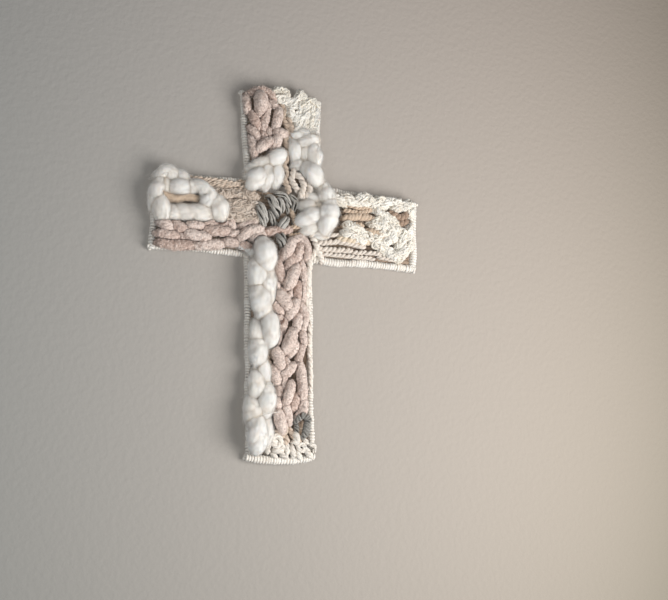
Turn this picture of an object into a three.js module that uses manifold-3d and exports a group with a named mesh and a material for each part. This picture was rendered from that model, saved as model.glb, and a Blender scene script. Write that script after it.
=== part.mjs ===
// A woven wool cross for a wall: a steel wire cross with its whole edge wound with cream yarn,
// cotton strings across each limb, a flat weave on the strings, and thick roving, chenille,
// loopy and twisted yarns laid over the weave in front.
// Millimetres, +Z up. The front faces -Y and the wall is the plane y = 0. The origin is the
// nail: the middle of the wound top bar's underside, at the wall.
import * as THREE from 'three';
import { mergeVertices } from 'three/addons/utils/BufferGeometryUtils.js';
import Module from 'manifold-3d';

const wasm = await Module();
wasm.setup();

// Driving sizes, measured between the axes of the edge wires.
const topLimbLength = 91.5;
const topLimbWidth = 78;
const armHeight = 75;
const armSpan = 279;
const stemWidth = 66;
const footLimbLength = 200;

// Wire, edge winding and strings.
const wireDiameter = 3.2;
const braceDiameter = 3;
const wrapDiameter = 6.8;
const stringDiameter = 1.3;
const stringPitch = 12;
const weaveThickness = 5.2;
const weaveSetback = 0.3;
const clearance = 0.3;
const overrun = 4;

// Yarns by thickness.
const rovingThickness = 18;
const chenilleThickness = 10;
const ropeThickness = 10.8;
const taupeThickness = 8;
const tanThickness = 7.2;
const nubbyThickness = 10;
const boucleThickness = 6.8;
const twistThickness = 6;
const loopThickness = 4;
const carryThickness = 3.4;

// How a round piece is faceted.
const wrapSides = 10;
const wireSides = 8;
const stringSides = 4;

// How a front strand is shaped: its facets, the rings at each bend, whether its tips are blunt,
// and its depth as a share of its width.
const carryForm = { sides: 4, bendSteps: 1, blunt: false, depthShare: 1 };
const thinForm = { sides: 5, bendSteps: 1, blunt: false, depthShare: 1 };
const thickForm = { sides: 6, bendSteps: 2, blunt: true, depthShare: 0.8 };

// A blunt tip's ring, as shares of the strand's radius, and how near, as a share of their radii,
// the ends of two strands lie that hold each other.
const tipPlaceShare = 0.6;
const tipWidthShare = 0.78;
const heldShare = 0.75;

// Vertices nearer to each other than this share of the clearance are one.
const weldShare = 0.001;

// The cross is made by hand, so each corner leans from its straight place by a share of the
// stem's width: first across, then up.
const cornerLeanShares = {
  topLeft: [-0.09, 0],
  topRight: [-0.06, 0],
  upperRight: [0.06, 0.02],
  rightTop: [0.11, -0.11],
  rightBottom: [0.07, -0.01],
  lowerRight: [-0.08, 0],
  footRight: [-0.02, 0],
  footLeft: [-0.01, 0],
  lowerLeft: [-0.07, 0],
  leftBottom: [0.08, 0.01],
  leftTop: [0.11, -0.07],
  upperLeft: [-0.09, -0.02],
};

// Places of the front yarns. Each row is one visible strand: its thickness as a share of its
// yarn's, then the points of its route as shares of the limb's width and height.
const rovingTopLeftShares = [
  [0.67, [0.03, 0.14], [0.17, 0.20], [0.30, 0.25]],
  [0.89, [0.34, 0.25], [0.42, 0.31]],
  [1.11, [0.01, -0.02], [0.10, 0.04]],
  [0.72, [0.25, 0.11], [0.23, -0.05]],
  [0.61, [0.40, 0.14], [0.39, 0.01]],
];
const rovingTopRightShares = [
  [0.50, [0.94, 1.00], [0.97, 0.81], [0.92, 0.61]],
  [0.67, [0.91, 0.54], [0.80, 0.50], [0.71, 0.43]],
  [0.61, [0.63, 0.44], [0.64, 0.30]],
  [0.50, [0.66, 0.21], [0.76, 0.23]],
  [0.72, [0.90, 0.39], [0.92, 0.26]],
  [1.06, [0.88, 0.15], [0.87, 0.01]],
];
const chenilleTopShares = [
  [0.72, [-0.01, 0.98], [0.14, 1.05], [0.29, 1.06], [0.38, 0.99]],
  [0.70, [0.34, 0.92], [0.42, 0.85]],
  [0.92, [0.43, 0.81], [0.38, 0.64]],
  [1.00, [0.40, 0.57], [0.48, 0.56]],
  [1.00, [0.41, 0.51], [0.35, 0.40]],
  [1.10, [0.30, 0.46], [0.14, 0.37]],
  [0.60, [0.30, 0.53], [0.29, 0.60]],
  [0.72, [0.24, 0.51], [0.20, 0.54]],
  [0.84, [0.22, 0.62], [0.29, 0.87]],
  [1.40, [0.17, 0.95], [0.17, 0.80]],
  [0.80, [0.00, 0.94], [0.01, 0.80]],
  [0.90, [0.07, 0.74], [0.13, 0.61]],
  [0.84, [0.05, 0.58], [0.13, 0.49]],
  [0.80, [0.05, 0.47], [0.08, 0.30]],
];
const taupeTopShares = [
  [0.75, [0.47, 0.96], [0.50, 0.88]],
  [0.75, [0.52, 0.85], [0.49, 0.76]],
  [0.75, [0.50, 0.75], [0.55, 0.65]],
  [0.85, [0.57, 0.74], [0.62, 0.62]],
  [0.90, [0.63, 0.63], [0.61, 0.51]],
  [0.80, [0.55, 0.61], [0.52, 0.49]],
  [0.80, [0.53, 0.47], [0.55, 0.35]],
  [0.75, [0.55, 0.33], [0.51, 0.24]],
  [0.75, [0.49, 0.22], [0.53, 0.13]],
  [0.75, [0.53, 0.12], [0.49, 0.03]],
  [0.80, [0.50, 0.02], [0.55, -0.08]],
];
const boucleTopShares = [
  [0.77, [0.38, 1.11], [0.49, 1.16], [0.58, 1.10], [0.51, 1.02], [0.43, 1.01]],
  [0.82, [0.51, 0.99], [0.63, 1.00], [0.73, 1.07], [0.75, 1.14]],
  [0.82, [0.76, 1.12], [0.81, 1.03], [0.71, 0.95], [0.60, 0.95]],
  [0.88, [0.59, 0.86], [0.69, 0.79], [0.81, 0.84], [0.78, 0.93]],
  [0.82, [0.81, 0.91], [0.85, 1.03], [0.91, 1.06], [0.97, 1.00]],
  [0.77, [0.82, 0.79], [0.79, 0.68], [0.85, 0.63]],
];
const rovingLeftUpperShares = [
  [0.72, [-0.04, 0.58], [-0.03, 0.78], [0.04, 0.90]],
  [0.51, [0.11, 0.80], [0.08, 0.90]],
  [0.72, [0.03, 1.01], [0.10, 1.07], [0.17, 1.00]],
  [0.61, [0.25, 1.01], [0.31, 0.93], [0.27, 0.83], [0.20, 0.82]],
  [0.67, [0.34, 0.85], [0.45, 0.85], [0.54, 0.74], [0.52, 0.61]],
];
const rovingLeftLowerShares = [
  [0.96, [0.05, 0.54], [0.06, 0.44]],
  [0.89, [0.19, 0.46], [0.35, 0.48], [0.53, 0.48]],
  [0.98, [0.65, 0.63], [0.67, 0.50]],
];
const tanLeftShares = [
  [0.94, [0.08, 0.71], [0.19, 0.65], [0.31, 0.70], [0.43, 0.68]],
];
const chenilleRowOneShares = [
  [0.96, [0.04, 0.29], [0.11, 0.24]],
  [1.00, [0.20, 0.28], [0.30, 0.24]],
  [0.80, [0.36, 0.30], [0.47, 0.30]],
  [0.64, [0.53, 0.34], [0.75, 0.39]],
  [0.68, [0.80, 0.40], [0.82, 0.32]],
];
const chenilleRowTwoShares = [
  [1.00, [0.01, 0.15], [0.20, 0.13]],
  [0.68, [0.27, 0.18], [0.29, 0.14]],
  [1.00, [0.34, 0.17], [0.53, 0.14]],
  [1.00, [0.54, 0.24], [0.75, 0.26]],
  [0.68, [0.80, 0.23], [0.87, 0.25]],
];
const chenilleRowThreeShares = [
  [1.00, [0.02, 0.01], [0.19, 0.00], [0.37, 0.02]],
  [1.04, [0.44, 0.03], [0.67, 0.07]],
  [0.92, [0.75, 0.11], [0.84, 0.11]],
  [0.80, [0.91, 0.10], [1.00, 0.06]],
];
const taupeLeftShares = [
  [0.50, [0.35, 0.99], [0.62, 0.98], [0.90, 0.95]],
  [0.50, [1.01, 0.91], [0.70, 0.93], [0.41, 0.94]],
  [0.55, [0.61, 0.87], [0.84, 0.86], [1.05, 0.88]],
];
const nubbyLeftShares = [
  [0.92, [0.64, 0.79], [0.85, 0.78], [1.05, 0.78]],
  [0.96, [1.05, 0.66], [0.80, 0.66]],
  [0.92, [0.82, 0.54], [1.02, 0.55]],
];
const twistCenterShares = [
  [1.00, [0.60, 1.18], [0.58, 1.04], [0.66, 0.93]],
  [1.07, [0.73, 0.85], [0.74, 1.01], [0.65, 1.12]],
  [1.00, [0.81, 1.06], [0.85, 0.93], [0.79, 0.82]],
  [0.93, [0.90, 0.99], [1.01, 0.96], [1.09, 1.00]],
];
const ropeCenterShares = [
  [1.02, [0.26, 0.38], [0.19, 0.65]],
  [1.02, [0.36, 0.76], [0.39, 0.51]],
  [0.78, [0.54, 0.36], [0.61, 0.45], [0.62, 0.55]],
  [0.81, [0.52, 0.60], [0.51, 0.79]],
  [0.70, [0.52, 0.86], [0.68, 0.82], [0.79, 0.63]],
];
const ropeKnotShares = [
  [0.96, [0.45, 0.26], [0.53, 0.17]],
];
const chenilleCenterShares = [
  [0.80, [0.08, 0.43], [-0.11, 0.36]],
  [1.00, [-0.14, 0.19], [-0.01, 0.29], [0.14, 0.32]],
  [0.80, [0.05, 0.20], [0.19, 0.27]],
  [0.92, [0.25, 0.30], [0.57, 0.35]],
];
const tanCenterShares = [
  [0.61, [0.63, 0.29], [0.94, 0.33]],
];
const rovingCenterShares = [
  [0.62, [0.88, 0.83], [1.04, 0.74]],
  [1.00, [0.83, 0.51], [1.00, 0.62]],
  [1.17, [1.17, 0.85], [1.24, 0.60], [1.23, 0.35]],
  [0.50, [1.27, 0.30], [1.11, 0.30]],
];
const boucleRightTopShares = [
  [1.00, [0.06, 0.96], [0.14, 0.92], [0.22, 0.89]],
  [1.18, [0.27, 0.97], [0.35, 0.92], [0.43, 1.02]],
  [1.24, [0.47, 1.03], [0.54, 0.94], [0.62, 1.02]],
  [1.18, [0.65, 0.96], [0.72, 1.04], [0.81, 1.02]],
  [1.18, [0.85, 1.05], [0.89, 0.96], [0.79, 0.92]],
];
const tanRightShares = [
  [0.72, [0.63, 0.85], [0.43, 0.79], [0.25, 0.82]],
  [0.83, [0.29, 0.72], [0.43, 0.72], [0.53, 0.79]],
  [1.17, [0.55, 0.66], [0.43, 0.66], [0.29, 0.61]],
  [1.11, [0.30, 0.50], [0.44, 0.53]],
  [1.39, [0.53, 0.45], [0.67, 0.42]],
];
const brownRightShares = [
  [0.89, [0.91, 0.92], [0.79, 0.87]],
  [1.06, [0.76, 0.78], [0.84, 0.74], [0.92, 0.83]],
  [1.00, [0.89, 0.69], [0.80, 0.62]],
];
const boucleRightLowerShares = [
  [1.18, [0.60, 0.79], [0.68, 0.73]],
  [1.29, [0.69, 0.66], [0.64, 0.55], [0.57, 0.58]],
  [1.29, [0.73, 0.56], [0.76, 0.44], [0.70, 0.32]],
  [1.29, [0.59, 0.30], [0.69, 0.21]],
  [1.35, [0.72, 0.19], [0.81, 0.14], [0.89, 0.28]],
  [1.35, [0.84, 0.33], [0.88, 0.46], [0.80, 0.53]],
];
const creamRightShares = [
  [0.83, [0.45, 0.41], [0.35, 0.42]],
  [1.11, [0.27, 0.30], [0.39, 0.30], [0.53, 0.31]],
];
const twistRightShares = [
  [0.93, [0.48, 0.23], [0.26, 0.26], [0.06, 0.21]],
  [0.93, [0.06, 0.13], [0.22, 0.14], [0.36, 0.15]],
  [0.80, [0.41, 0.13], [0.54, 0.15], [0.66, 0.15]],
  [0.73, [0.59, 0.07], [0.32, 0.07], [0.08, 0.07]],
];
const creamCornerShares = [
  [1.00, [0.10, 0.32], [-0.02, 0.31]],
  [1.00, [0.00, 0.25], [0.04, 0.16], [0.02, 0.05]],
  [1.00, [0.06, 0.09], [0.10, -0.02]],
];
const rovingFootUpperShares = [
  [1.44, [0.19, 1.02], [0.22, 0.97]],
  [0.96, [0.05, 0.93], [0.05, 0.85]],
  [0.89, [0.27, 0.89], [0.29, 0.78]],
  [1.04, [0.09, 0.78], [0.14, 0.72]],
];
const rovingFootMiddleShares = [
  [1.00, [0.28, 0.67], [0.31, 0.58]],
  [0.73, [0.04, 0.63], [0.04, 0.58]],
  [0.96, [0.08, 0.53], [0.08, 0.47]],
  [0.69, [0.20, 0.44], [0.23, 0.39]],
];
const rovingFootLowerShares = [
  [0.91, [0.05, 0.37], [0.05, 0.31]],
  [0.93, [0.25, 0.31], [0.23, 0.23]],
  [0.93, [0.01, 0.24], [0.03, 0.18]],
  [1.28, [0.08, 0.15], [0.09, 0.06]],
  [0.61, [0.27, 0.08], [0.27, 0.16]],
];
const chenilleFootLeftShares = [
  [0.88, [0.53, 0.99], [0.57, 0.99]],
  [1.00, [0.48, 0.96], [0.53, 0.92]],
  [0.92, [0.53, 0.91], [0.53, 0.87]],
  [0.80, [0.48, 0.86], [0.48, 0.82]],
  [0.76, [0.58, 0.84], [0.58, 0.81]],
  [1.40, [0.49, 0.79], [0.61, 0.75]],
  [1.00, [0.45, 0.74], [0.54, 0.68], [0.54, 0.63]],
  [1.00, [0.49, 0.60], [0.43, 0.55]],
  [1.08, [0.44, 0.50], [0.47, 0.45]],
  [1.00, [0.39, 0.41], [0.42, 0.36]],
  [0.72, [0.46, 0.34], [0.46, 0.30]],
  [0.92, [0.44, 0.27], [0.45, 0.22]],
  [1.12, [0.45, 0.20], [0.48, 0.14]],
];
const chenilleFootRightShares = [
  [1.08, [0.76, 1.01], [0.64, 0.96]],
  [1.32, [0.75, 0.95], [0.67, 0.88]],
  [0.84, [0.63, 0.86], [0.73, 0.86]],
  [0.80, [0.71, 0.83], [0.68, 0.79]],
  [1.00, [0.77, 0.77], [0.69, 0.70]],
  [0.92, [0.77, 0.69], [0.70, 0.63]],
  [1.20, [0.68, 0.60], [0.60, 0.54]],
  [1.00, [0.75, 0.55], [0.62, 0.48]],
  [0.96, [0.52, 0.40], [0.66, 0.42]],
  [0.80, [0.63, 0.35], [0.55, 0.37]],
  [0.92, [0.61, 0.33], [0.56, 0.22]],
  [1.00, [0.71, 0.27], [0.67, 0.22]],
  [0.92, [0.59, 0.20], [0.61, 0.16]],
];
const chenilleFootEdgeShares = [
  [0.80, [0.82, 0.75], [0.87, 0.69], [0.85, 0.64]],
  [0.72, [0.85, 0.61], [0.87, 0.56]],
  [0.76, [0.83, 0.54], [0.77, 0.47]],
  [1.00, [0.78, 0.44], [0.81, 0.37], [0.82, 0.30]],
  [0.92, [0.85, 0.27], [0.82, 0.22], [0.74, 0.19]],
];
const taupeFootShares = [
  [0.55, [0.33, 0.53], [0.36, 0.49]],
  [0.55, [0.26, 0.51], [0.34, 0.44]],
  [0.55, [0.32, 0.41], [0.26, 0.46]],
];
const creamCordShares = [
  [1.00, [0.99, 1.00], [0.95, 0.91], [0.93, 0.81]],
  [0.73, [0.93, 0.80], [0.90, 0.72]],
  [0.73, [0.95, 0.69], [0.95, 0.78]],
];
const ropeFootShares = [
  [0.56, [0.92, 0.17], [0.84, 0.19], [0.75, 0.16]],
  [0.56, [0.74, 0.14], [0.74, 0.11]],
  [0.89, [0.86, 0.10], [0.83, 0.15]],
];
const taupeFootEndShares = [
  [0.75, [0.52, 0.11], [0.60, 0.14]],
  [0.75, [0.63, 0.13], [0.70, 0.09]],
  [0.75, [0.58, 0.07], [0.57, 0.09]],
];
const loopFootShares = [
  [1.60, [0.31, 0.04], [0.33, 0.01]],
  [1.00, [0.40, 0.06], [0.38, 0.05], [0.46, 0.03], [0.54, 0.05], [0.52, 0.08], [0.43, 0.1], [0.34, 0.08]],
  [1.30, [0.43, 0.01], [0.50, 0.00]],
  [1.70, [0.60, 0.01], [0.61, 0.04]],
  [2.00, [0.72, 0.07], [0.72, 0.09]],
  [1.00, [0.76, 0.05], [0.76, 0.02], [0.84, 0.00], [0.92, 0.02], [0.92, 0.05], [0.84, 0.07], [0.78, 0.05]],
];

// Finishes of the metal and of the wool, and the colours of what lies under the front yarns.
const steelFinish = { roughness: 0.4, metalness: 0.9 };
const woolFinish = { roughness: 0.95, metalness: 0 };
const wireColour = '#8d8f91';
const edgeColour = '#e1dcd2';
const weaveColour = '#c9beb0';
const stringColour = '#d8d3c8';

// Yarn kinds.
const yarnKinds = {
  roving: { thickness: rovingThickness, form: thickForm, colour: '#e9e7e3' },
  chenille: { thickness: chenilleThickness, form: thinForm, colour: '#c4aa9c' },
  rope: { thickness: ropeThickness, form: thinForm, colour: '#6f6c6a' },
  taupe: { thickness: taupeThickness, form: thinForm, colour: '#9b8b7c' },
  tan: { thickness: tanThickness, form: thinForm, colour: '#a58a6e' },
  brown: { thickness: tanThickness, form: thinForm, colour: '#7d6556' },
  nubby: { thickness: nubbyThickness, form: thinForm, colour: '#b7ab9a' },
  boucle: { thickness: boucleThickness, form: thinForm, colour: '#dedbd3' },
  twist: { thickness: twistThickness, form: thinForm, colour: '#d6cfc2' },
  cream: { thickness: tanThickness, form: thinForm, colour: '#ddd6c8' },
  loop: { thickness: loopThickness, form: thinForm, colour: '#e4e0d8' },
};

// Front yarns in the order in which they keep their room: a later one gives way to the earlier.
const frontYarns = [
  ['roving_top_left', 'topLimb', 'roving', rovingTopLeftShares],
  ['roving_top_right', 'topLimb', 'roving', rovingTopRightShares],
  ['roving_left_lower', 'leftArm', 'roving', rovingLeftLowerShares],
  ['roving_left_upper', 'leftArm', 'roving', rovingLeftUpperShares],
  ['roving_center', 'middle', 'roving', rovingCenterShares],
  ['roving_foot_upper', 'footLimb', 'roving', rovingFootUpperShares],
  ['roving_foot_middle', 'footLimb', 'roving', rovingFootMiddleShares],
  ['roving_foot_lower', 'footLimb', 'roving', rovingFootLowerShares],
  ['chenille_top', 'topLimb', 'chenille', chenilleTopShares],
  ['chenille_left_row_1', 'leftArm', 'chenille', chenilleRowOneShares],
  ['chenille_left_row_2', 'leftArm', 'chenille', chenilleRowTwoShares],
  ['chenille_left_row_3', 'leftArm', 'chenille', chenilleRowThreeShares],
  ['chenille_center', 'middle', 'chenille', chenilleCenterShares],
  ['chenille_foot_left', 'footLimb', 'chenille', chenilleFootLeftShares],
  ['chenille_foot_right', 'footLimb', 'chenille', chenilleFootRightShares],
  ['chenille_foot_edge', 'footLimb', 'chenille', chenilleFootEdgeShares],
  ['gray_rope_center', 'middle', 'rope', ropeCenterShares],
  ['gray_rope_knot', 'middle', 'rope', ropeKnotShares],
  ['gray_rope_foot', 'footLimb', 'rope', ropeFootShares],
  ['cream_loops_foot', 'footLimb', 'loop', loopFootShares],
  ['boucle_top', 'topLimb', 'boucle', boucleTopShares],
  ['boucle_right_top', 'rightArm', 'boucle', boucleRightTopShares],
  ['boucle_right_lower', 'rightArm', 'boucle', boucleRightLowerShares],
  ['nubby_yarn_left', 'leftArm', 'nubby', nubbyLeftShares],
  ['brown_yarn_right', 'rightArm', 'brown', brownRightShares],
  ['tan_yarn_right', 'rightArm', 'tan', tanRightShares],
  ['tan_yarn_left', 'leftArm', 'tan', tanLeftShares],
  ['tan_yarn_center', 'middle', 'tan', tanCenterShares],
  ['taupe_twist_top', 'topLimb', 'taupe', taupeTopShares],
  ['taupe_twist_left', 'leftArm', 'taupe', taupeLeftShares],
  ['taupe_twist_foot', 'footLimb', 'taupe', taupeFootShares],
  ['taupe_twist_foot_end', 'footLimb', 'taupe', taupeFootEndShares],
  ['cream_twist_center', 'middle', 'twist', twistCenterShares],
  ['cream_yarn_right', 'rightArm', 'cream', creamRightShares],
  ['twisted_rows_right', 'rightArm', 'twist', twistRightShares],
  ['cream_cord_corner', 'rightArm', 'twist', creamCornerShares],
  ['cream_cord_foot', 'footLimb', 'twist', creamCordShares],
];

// Worked out from the sizes above.
const wrapRadius = wrapDiameter / 2;
const weaveFront = wrapDiameter - weaveSetback;
const weaveBack = weaveFront - weaveThickness;
const stringDepth = weaveBack + clearance + stringDiameter / 2;
const seatDepth = wrapDiameter + clearance;
const armTop = wrapRadius - topLimbLength;
const armBottom = armTop - armHeight;
const footBottom = armBottom - footLimbLength;

// The corners on the wires' axes, as points across and up.
const corners = {
  topLeft: leaning('topLeft', -topLimbWidth / 2, wrapRadius),
  topRight: leaning('topRight', topLimbWidth / 2, wrapRadius),
  upperRight: leaning('upperRight', stemWidth / 2, armTop),
  rightTop: leaning('rightTop', armSpan / 2, armTop),
  rightBottom: leaning('rightBottom', armSpan / 2, armBottom),
  lowerRight: leaning('lowerRight', stemWidth / 2, armBottom),
  footRight: leaning('footRight', stemWidth / 2, footBottom),
  footLeft: leaning('footLeft', -stemWidth / 2, footBottom),
  lowerLeft: leaning('lowerLeft', -stemWidth / 2, armBottom),
  leftBottom: leaning('leftBottom', -armSpan / 2, armBottom),
  leftTop: leaning('leftTop', -armSpan / 2, armTop),
  upperLeft: leaning('upperLeft', -stemWidth / 2, armTop),
};
const outline = Object.values(corners);

// Each limb by its corners: low left, low right, high left, high right.
const limbs = {
  topLimb: [corners.upperLeft, corners.upperRight, corners.topLeft, corners.topRight],
  footLimb: [corners.footLeft, corners.footRight, corners.lowerLeft, corners.lowerRight],
  leftArm: [corners.leftBottom, corners.lowerLeft, corners.leftTop, corners.upperLeft],
  rightArm: [corners.lowerRight, corners.rightBottom, corners.upperRight, corners.rightTop],
  middle: [corners.lowerLeft, corners.lowerRight, corners.upperLeft, corners.upperRight],
};

function leaning(name, across, up) {
  const [acrossShare, upShare] = cornerLeanShares[name];
  return new THREE.Vector2(across + stemWidth * acrossShare, up + stemWidth * upShare);
}

// The place in a limb at a share of its width and of its height.
function limbPlace(limb, acrossShare, upShare) {
  const [lowLeft, lowRight, highLeft, highRight] = limbs[limb];
  const low = lowLeft.clone().lerp(lowRight, acrossShare);
  const high = highLeft.clone().lerp(highRight, acrossShare);
  return low.lerp(high, upShare);
}

// A closed surface from vertices and triangles, turned so that its faces point out.
function closedSurface(vertices, triangles) {
  let volume = 0;
  for (const [a, b, c] of triangles) {
    volume += vertices[a].dot(new THREE.Vector3().crossVectors(vertices[b], vertices[c]));
  }
  const turned = volume < 0 ? triangles.map(([a, b, c]) => [a, c, b]) : triangles;
  const geometry = new THREE.BufferGeometry();
  const numbers = vertices.flatMap((vertex) => [vertex.x, vertex.y, vertex.z]);
  geometry.setAttribute('position', new THREE.Float32BufferAttribute(numbers, 3));
  geometry.setIndex(turned.flat());
  return geometry;
}

// A skin over a row of rings with the same number of vertices. A ring of one vertex is a tip.
function skin(rings, closed = false) {
  const starts = [];
  let total = 0;
  for (const ring of rings) {
    starts.push(total);
    total += ring.length;
  }
  const triangles = [];
  const pairs = closed ? rings.length : rings.length - 1;
  for (let i = 0; i < pairs; i++) {
    const j = (i + 1) % rings.length;
    const count = Math.max(rings[i].length, rings[j].length);
    for (let k = 0; k < count; k++) {
      const here = starts[i] + (k % rings[i].length);
      const hereNext = starts[i] + ((k + 1) % rings[i].length);
      const there = starts[j] + (k % rings[j].length);
      const thereNext = starts[j] + ((k + 1) % rings[j].length);
      if (rings[i].length > 1) {
        triangles.push([here, hereNext, thereNext]);
      }
      if (rings[j].length > 1) {
        triangles.push([here, thereNext, there]);
      }
    }
  }
  if (!closed) {
    const last = rings.length - 1;
    for (let k = 1; k < rings[0].length - 1; k++) {
      triangles.push([starts[0], starts[0] + k + 1, starts[0] + k]);
    }
    for (let k = 1; k < rings[last].length - 1; k++) {
      triangles.push([starts[last], starts[last] + k, starts[last] + k + 1]);
    }
  }
  return closedSurface(rings.flat(), triangles);
}

// A round section of flat facets, one of them square to the wall: across and depth of each vertex.
function roundSection(radius, sides, depth) {
  const reach = radius / Math.cos(Math.PI / sides);
  return Array.from({ length: sides }, (_, i) => {
    const angle = ((i + 1 / 2) / sides) * 2 * Math.PI;
    return [reach * Math.sin(angle), depth + reach * Math.cos(angle)];
  });
}

// The ring of a section at a corner of a path in the plane of the wall, on the plane that halves
// the corner. It is drawn back along the arriving direction by the setback.
function cornerRing(corner, arriving, leaving, section, setback) {
  const halving = arriving.clone().add(leaving).normalize();
  const side = new THREE.Vector2(-arriving.y, arriving.x);
  const straightness = arriving.dot(halving);
  return section.map(([across, depth]) => {
    const along = (-across * side.dot(halving) - setback) / straightness;
    const x = corner.x + along * arriving.x + across * side.x;
    const z = corner.y + along * arriving.y + across * side.y;
    return new THREE.Vector3(x, -depth, z);
  });
}

function direction(from, to) {
  return to.clone().sub(from).normalize();
}

// A section carried along a path with sharp corners.
function pathSurface(points, section, closed) {
  const count = points.length;
  const rings = points.map((point, i) => {
    const before = closed ? points[(i + count - 1) % count] : points[Math.max(i - 1, 0)];
    const after = closed ? points[(i + 1) % count] : points[Math.min(i + 1, count - 1)];
    const arriving = before === point ? direction(point, after) : direction(before, point);
    const leaving = after === point ? arriving : direction(point, after);
    return cornerRing(point, arriving, leaving, section, 0);
  });
  return skin(rings, closed);
}

// The wound sleeve over one side of the wire, with its ends halved to its neighbours.
function sleeveSurface(index) {
  const count = outline.length;
  const before = outline[(index + count - 1) % count];
  const start = outline[index];
  const end = outline[(index + 1) % count];
  const after = outline[(index + 2) % count];
  const along = direction(start, end);
  const outer = roundSection(wrapRadius, wrapSides, wrapRadius);
  const inner = roundSection(wireDiameter / 2 + clearance, wrapSides, wrapRadius);
  const arrivingBack = direction(end, start);
  const leavingBack = direction(start, before);
  const atStart = (section) => {
    const mirrored = section.map(([across, depth]) => [-across, depth]);
    return cornerRing(start, arrivingBack, leavingBack, mirrored, clearance / 2);
  };
  const atEnd = (section) => cornerRing(end, along, direction(end, after), section, clearance / 2);
  return skin([atStart(outer), atEnd(outer), atEnd(inner), atStart(inner)], true);
}

function solidOf(geometry) {
  const bare = geometry.clone();
  bare.deleteAttribute('normal');
  bare.deleteAttribute('uv');
  const merged = mergeVertices(bare, clearance * weldShare);
  return new wasm.Manifold(new wasm.Mesh({
    numProp: 3,
    vertProperties: new Float32Array(merged.attributes.position.array),
    triVerts: new Uint32Array(merged.index.array),
  }));
}

function geometryOf(solid) {
  const mesh = solid.getMesh();
  const geometry = new THREE.BufferGeometry();
  geometry.setAttribute('position', new THREE.Float32BufferAttribute(mesh.vertProperties, 3));
  geometry.setIndex(Array.from(mesh.triVerts));
  return mergeVertices(geometry, clearance * weldShare);
}

function boxOf(geometry) {
  geometry.computeBoundingBox();
  return geometry.boundingBox.clone();
}

// Of a surface that cutting has parted, the piece with the most triangles.
function largestPiece(geometry) {
  const index = geometry.index.array;
  const leader = Array.from({ length: geometry.attributes.position.count }, (_, i) => i);
  const find = (vertex) => {
    let top = vertex;
    while (leader[top] !== top) {
      leader[top] = leader[leader[top]];
      top = leader[top];
    }
    return top;
  };
  for (let i = 0; i < index.length; i += 3) {
    leader[find(index[i + 1])] = find(index[i]);
    leader[find(index[i + 2])] = find(index[i]);
  }
  const counts = new Map();
  for (let i = 0; i < index.length; i += 3) {
    const top = find(index[i]);
    counts.set(top, (counts.get(top) ?? 0) + 1);
  }
  const biggest = [...counts.entries()].sort((a, b) => b[1] - a[1])[0][0];
  const kept = [];
  for (let i = 0; i < index.length; i += 3) {
    if (find(index[i]) === biggest) {
      kept.push(index[i], index[i + 1], index[i + 2]);
    }
  }
  geometry.setIndex(kept);
  return geometry.toNonIndexed();
}

// A strand along a smooth route at one depth, flat behind and grown on all sides if asked.
function strandSurface(points, radius, form, growth) {
  const { sides, bendSteps, blunt, depthShare } = form;
  const route = new THREE.CatmullRomCurve3(points, false, 'centripetal');
  const steps = points.length === 2 ? 1 : (points.length - 1) * bendSteps;
  const reach = radius + growth;
  const deepReach = radius * depthShare + growth;
  const ring = (center, tangent, widthShare) => {
    const side = new THREE.Vector3(-tangent.z, 0, tangent.x).normalize();
    return Array.from({ length: sides }, (_, i) => {
      const angle = ((i + 1 / 2) / sides) * 2 * Math.PI;
      const across = reach * widthShare * Math.sin(angle);
      const deep = deepReach * widthShare * Math.cos(angle);
      return new THREE.Vector3(center.x + side.x * across, center.y + deep, center.z + side.z * across);
    });
  };
  const start = route.getTangentAt(0);
  const end = route.getTangentAt(1);
  const beforeStart = (share) => route.getPointAt(0).addScaledVector(start, -reach * share);
  const afterEnd = (share) => route.getPointAt(1).addScaledVector(end, reach * share);
  const rings = [[beforeStart(1)]];
  if (blunt) {
    rings.push(ring(beforeStart(tipPlaceShare), start, tipWidthShare));
  }
  for (let i = 0; i <= steps; i++) {
    rings.push(ring(route.getPointAt(i / steps), route.getTangentAt(i / steps), 1));
  }
  if (blunt) {
    rings.push(ring(afterEnd(tipPlaceShare), end, tipWidthShare));
  }
  rings.push([afterEnd(1)]);
  return skin(rings);
}

// How deep a strand's axis lies when its flat back rests on the weave.
function restingDepth(radius, form) {
  return seatDepth + radius * form.depthShare * Math.cos(Math.PI / form.sides);
}

function strandPoints(limb, places, depth) {
  return places.map(([acrossShare, upShare]) => {
    const place = limbPlace(limb, acrossShare, upShare);
    return new THREE.Vector3(place.x, -depth, place.y);
  });
}

// All the strands of one yarn, and the low runs of the same yarn from each strand to the next.
function yarnSolid(limb, kind, rows, growth) {
  const { thickness, form } = yarnKinds[kind];
  const carryRadius = carryThickness / 2;
  let solid = null;
  let last = null;
  for (const [sizeShare, ...places] of rows) {
    const radius = (sizeShare * thickness) / 2;
    const points = strandPoints(limb, places, restingDepth(radius, form));
    const strand = solidOf(strandSurface(points, radius, form, growth));
    solid = solid ? solid.add(strand) : strand;
    if (last) {
      const ends = strandPoints(limb, [last.place, places[0]], restingDepth(carryRadius, carryForm));
      if (ends[0].distanceTo(ends[1]) > (last.radius + radius) * heldShare) {
        solid = solid.add(solidOf(strandSurface(ends, carryRadius, carryForm, growth)));
      }
    }
    last = { place: places.at(-1), radius };
  }
  return solid;
}

// A flat plate in the plane of the wall, from its back depth to its front depth.
function plateSolid(points) {
  const geometry = new THREE.ExtrudeGeometry(new THREE.Shape(points), {
    depth: weaveThickness,
    bevelEnabled: false,
    steps: 1,
  });
  geometry.rotateX(Math.PI / 2);
  geometry.translate(0, -weaveBack, 0);
  return solidOf(geometry);
}

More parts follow.
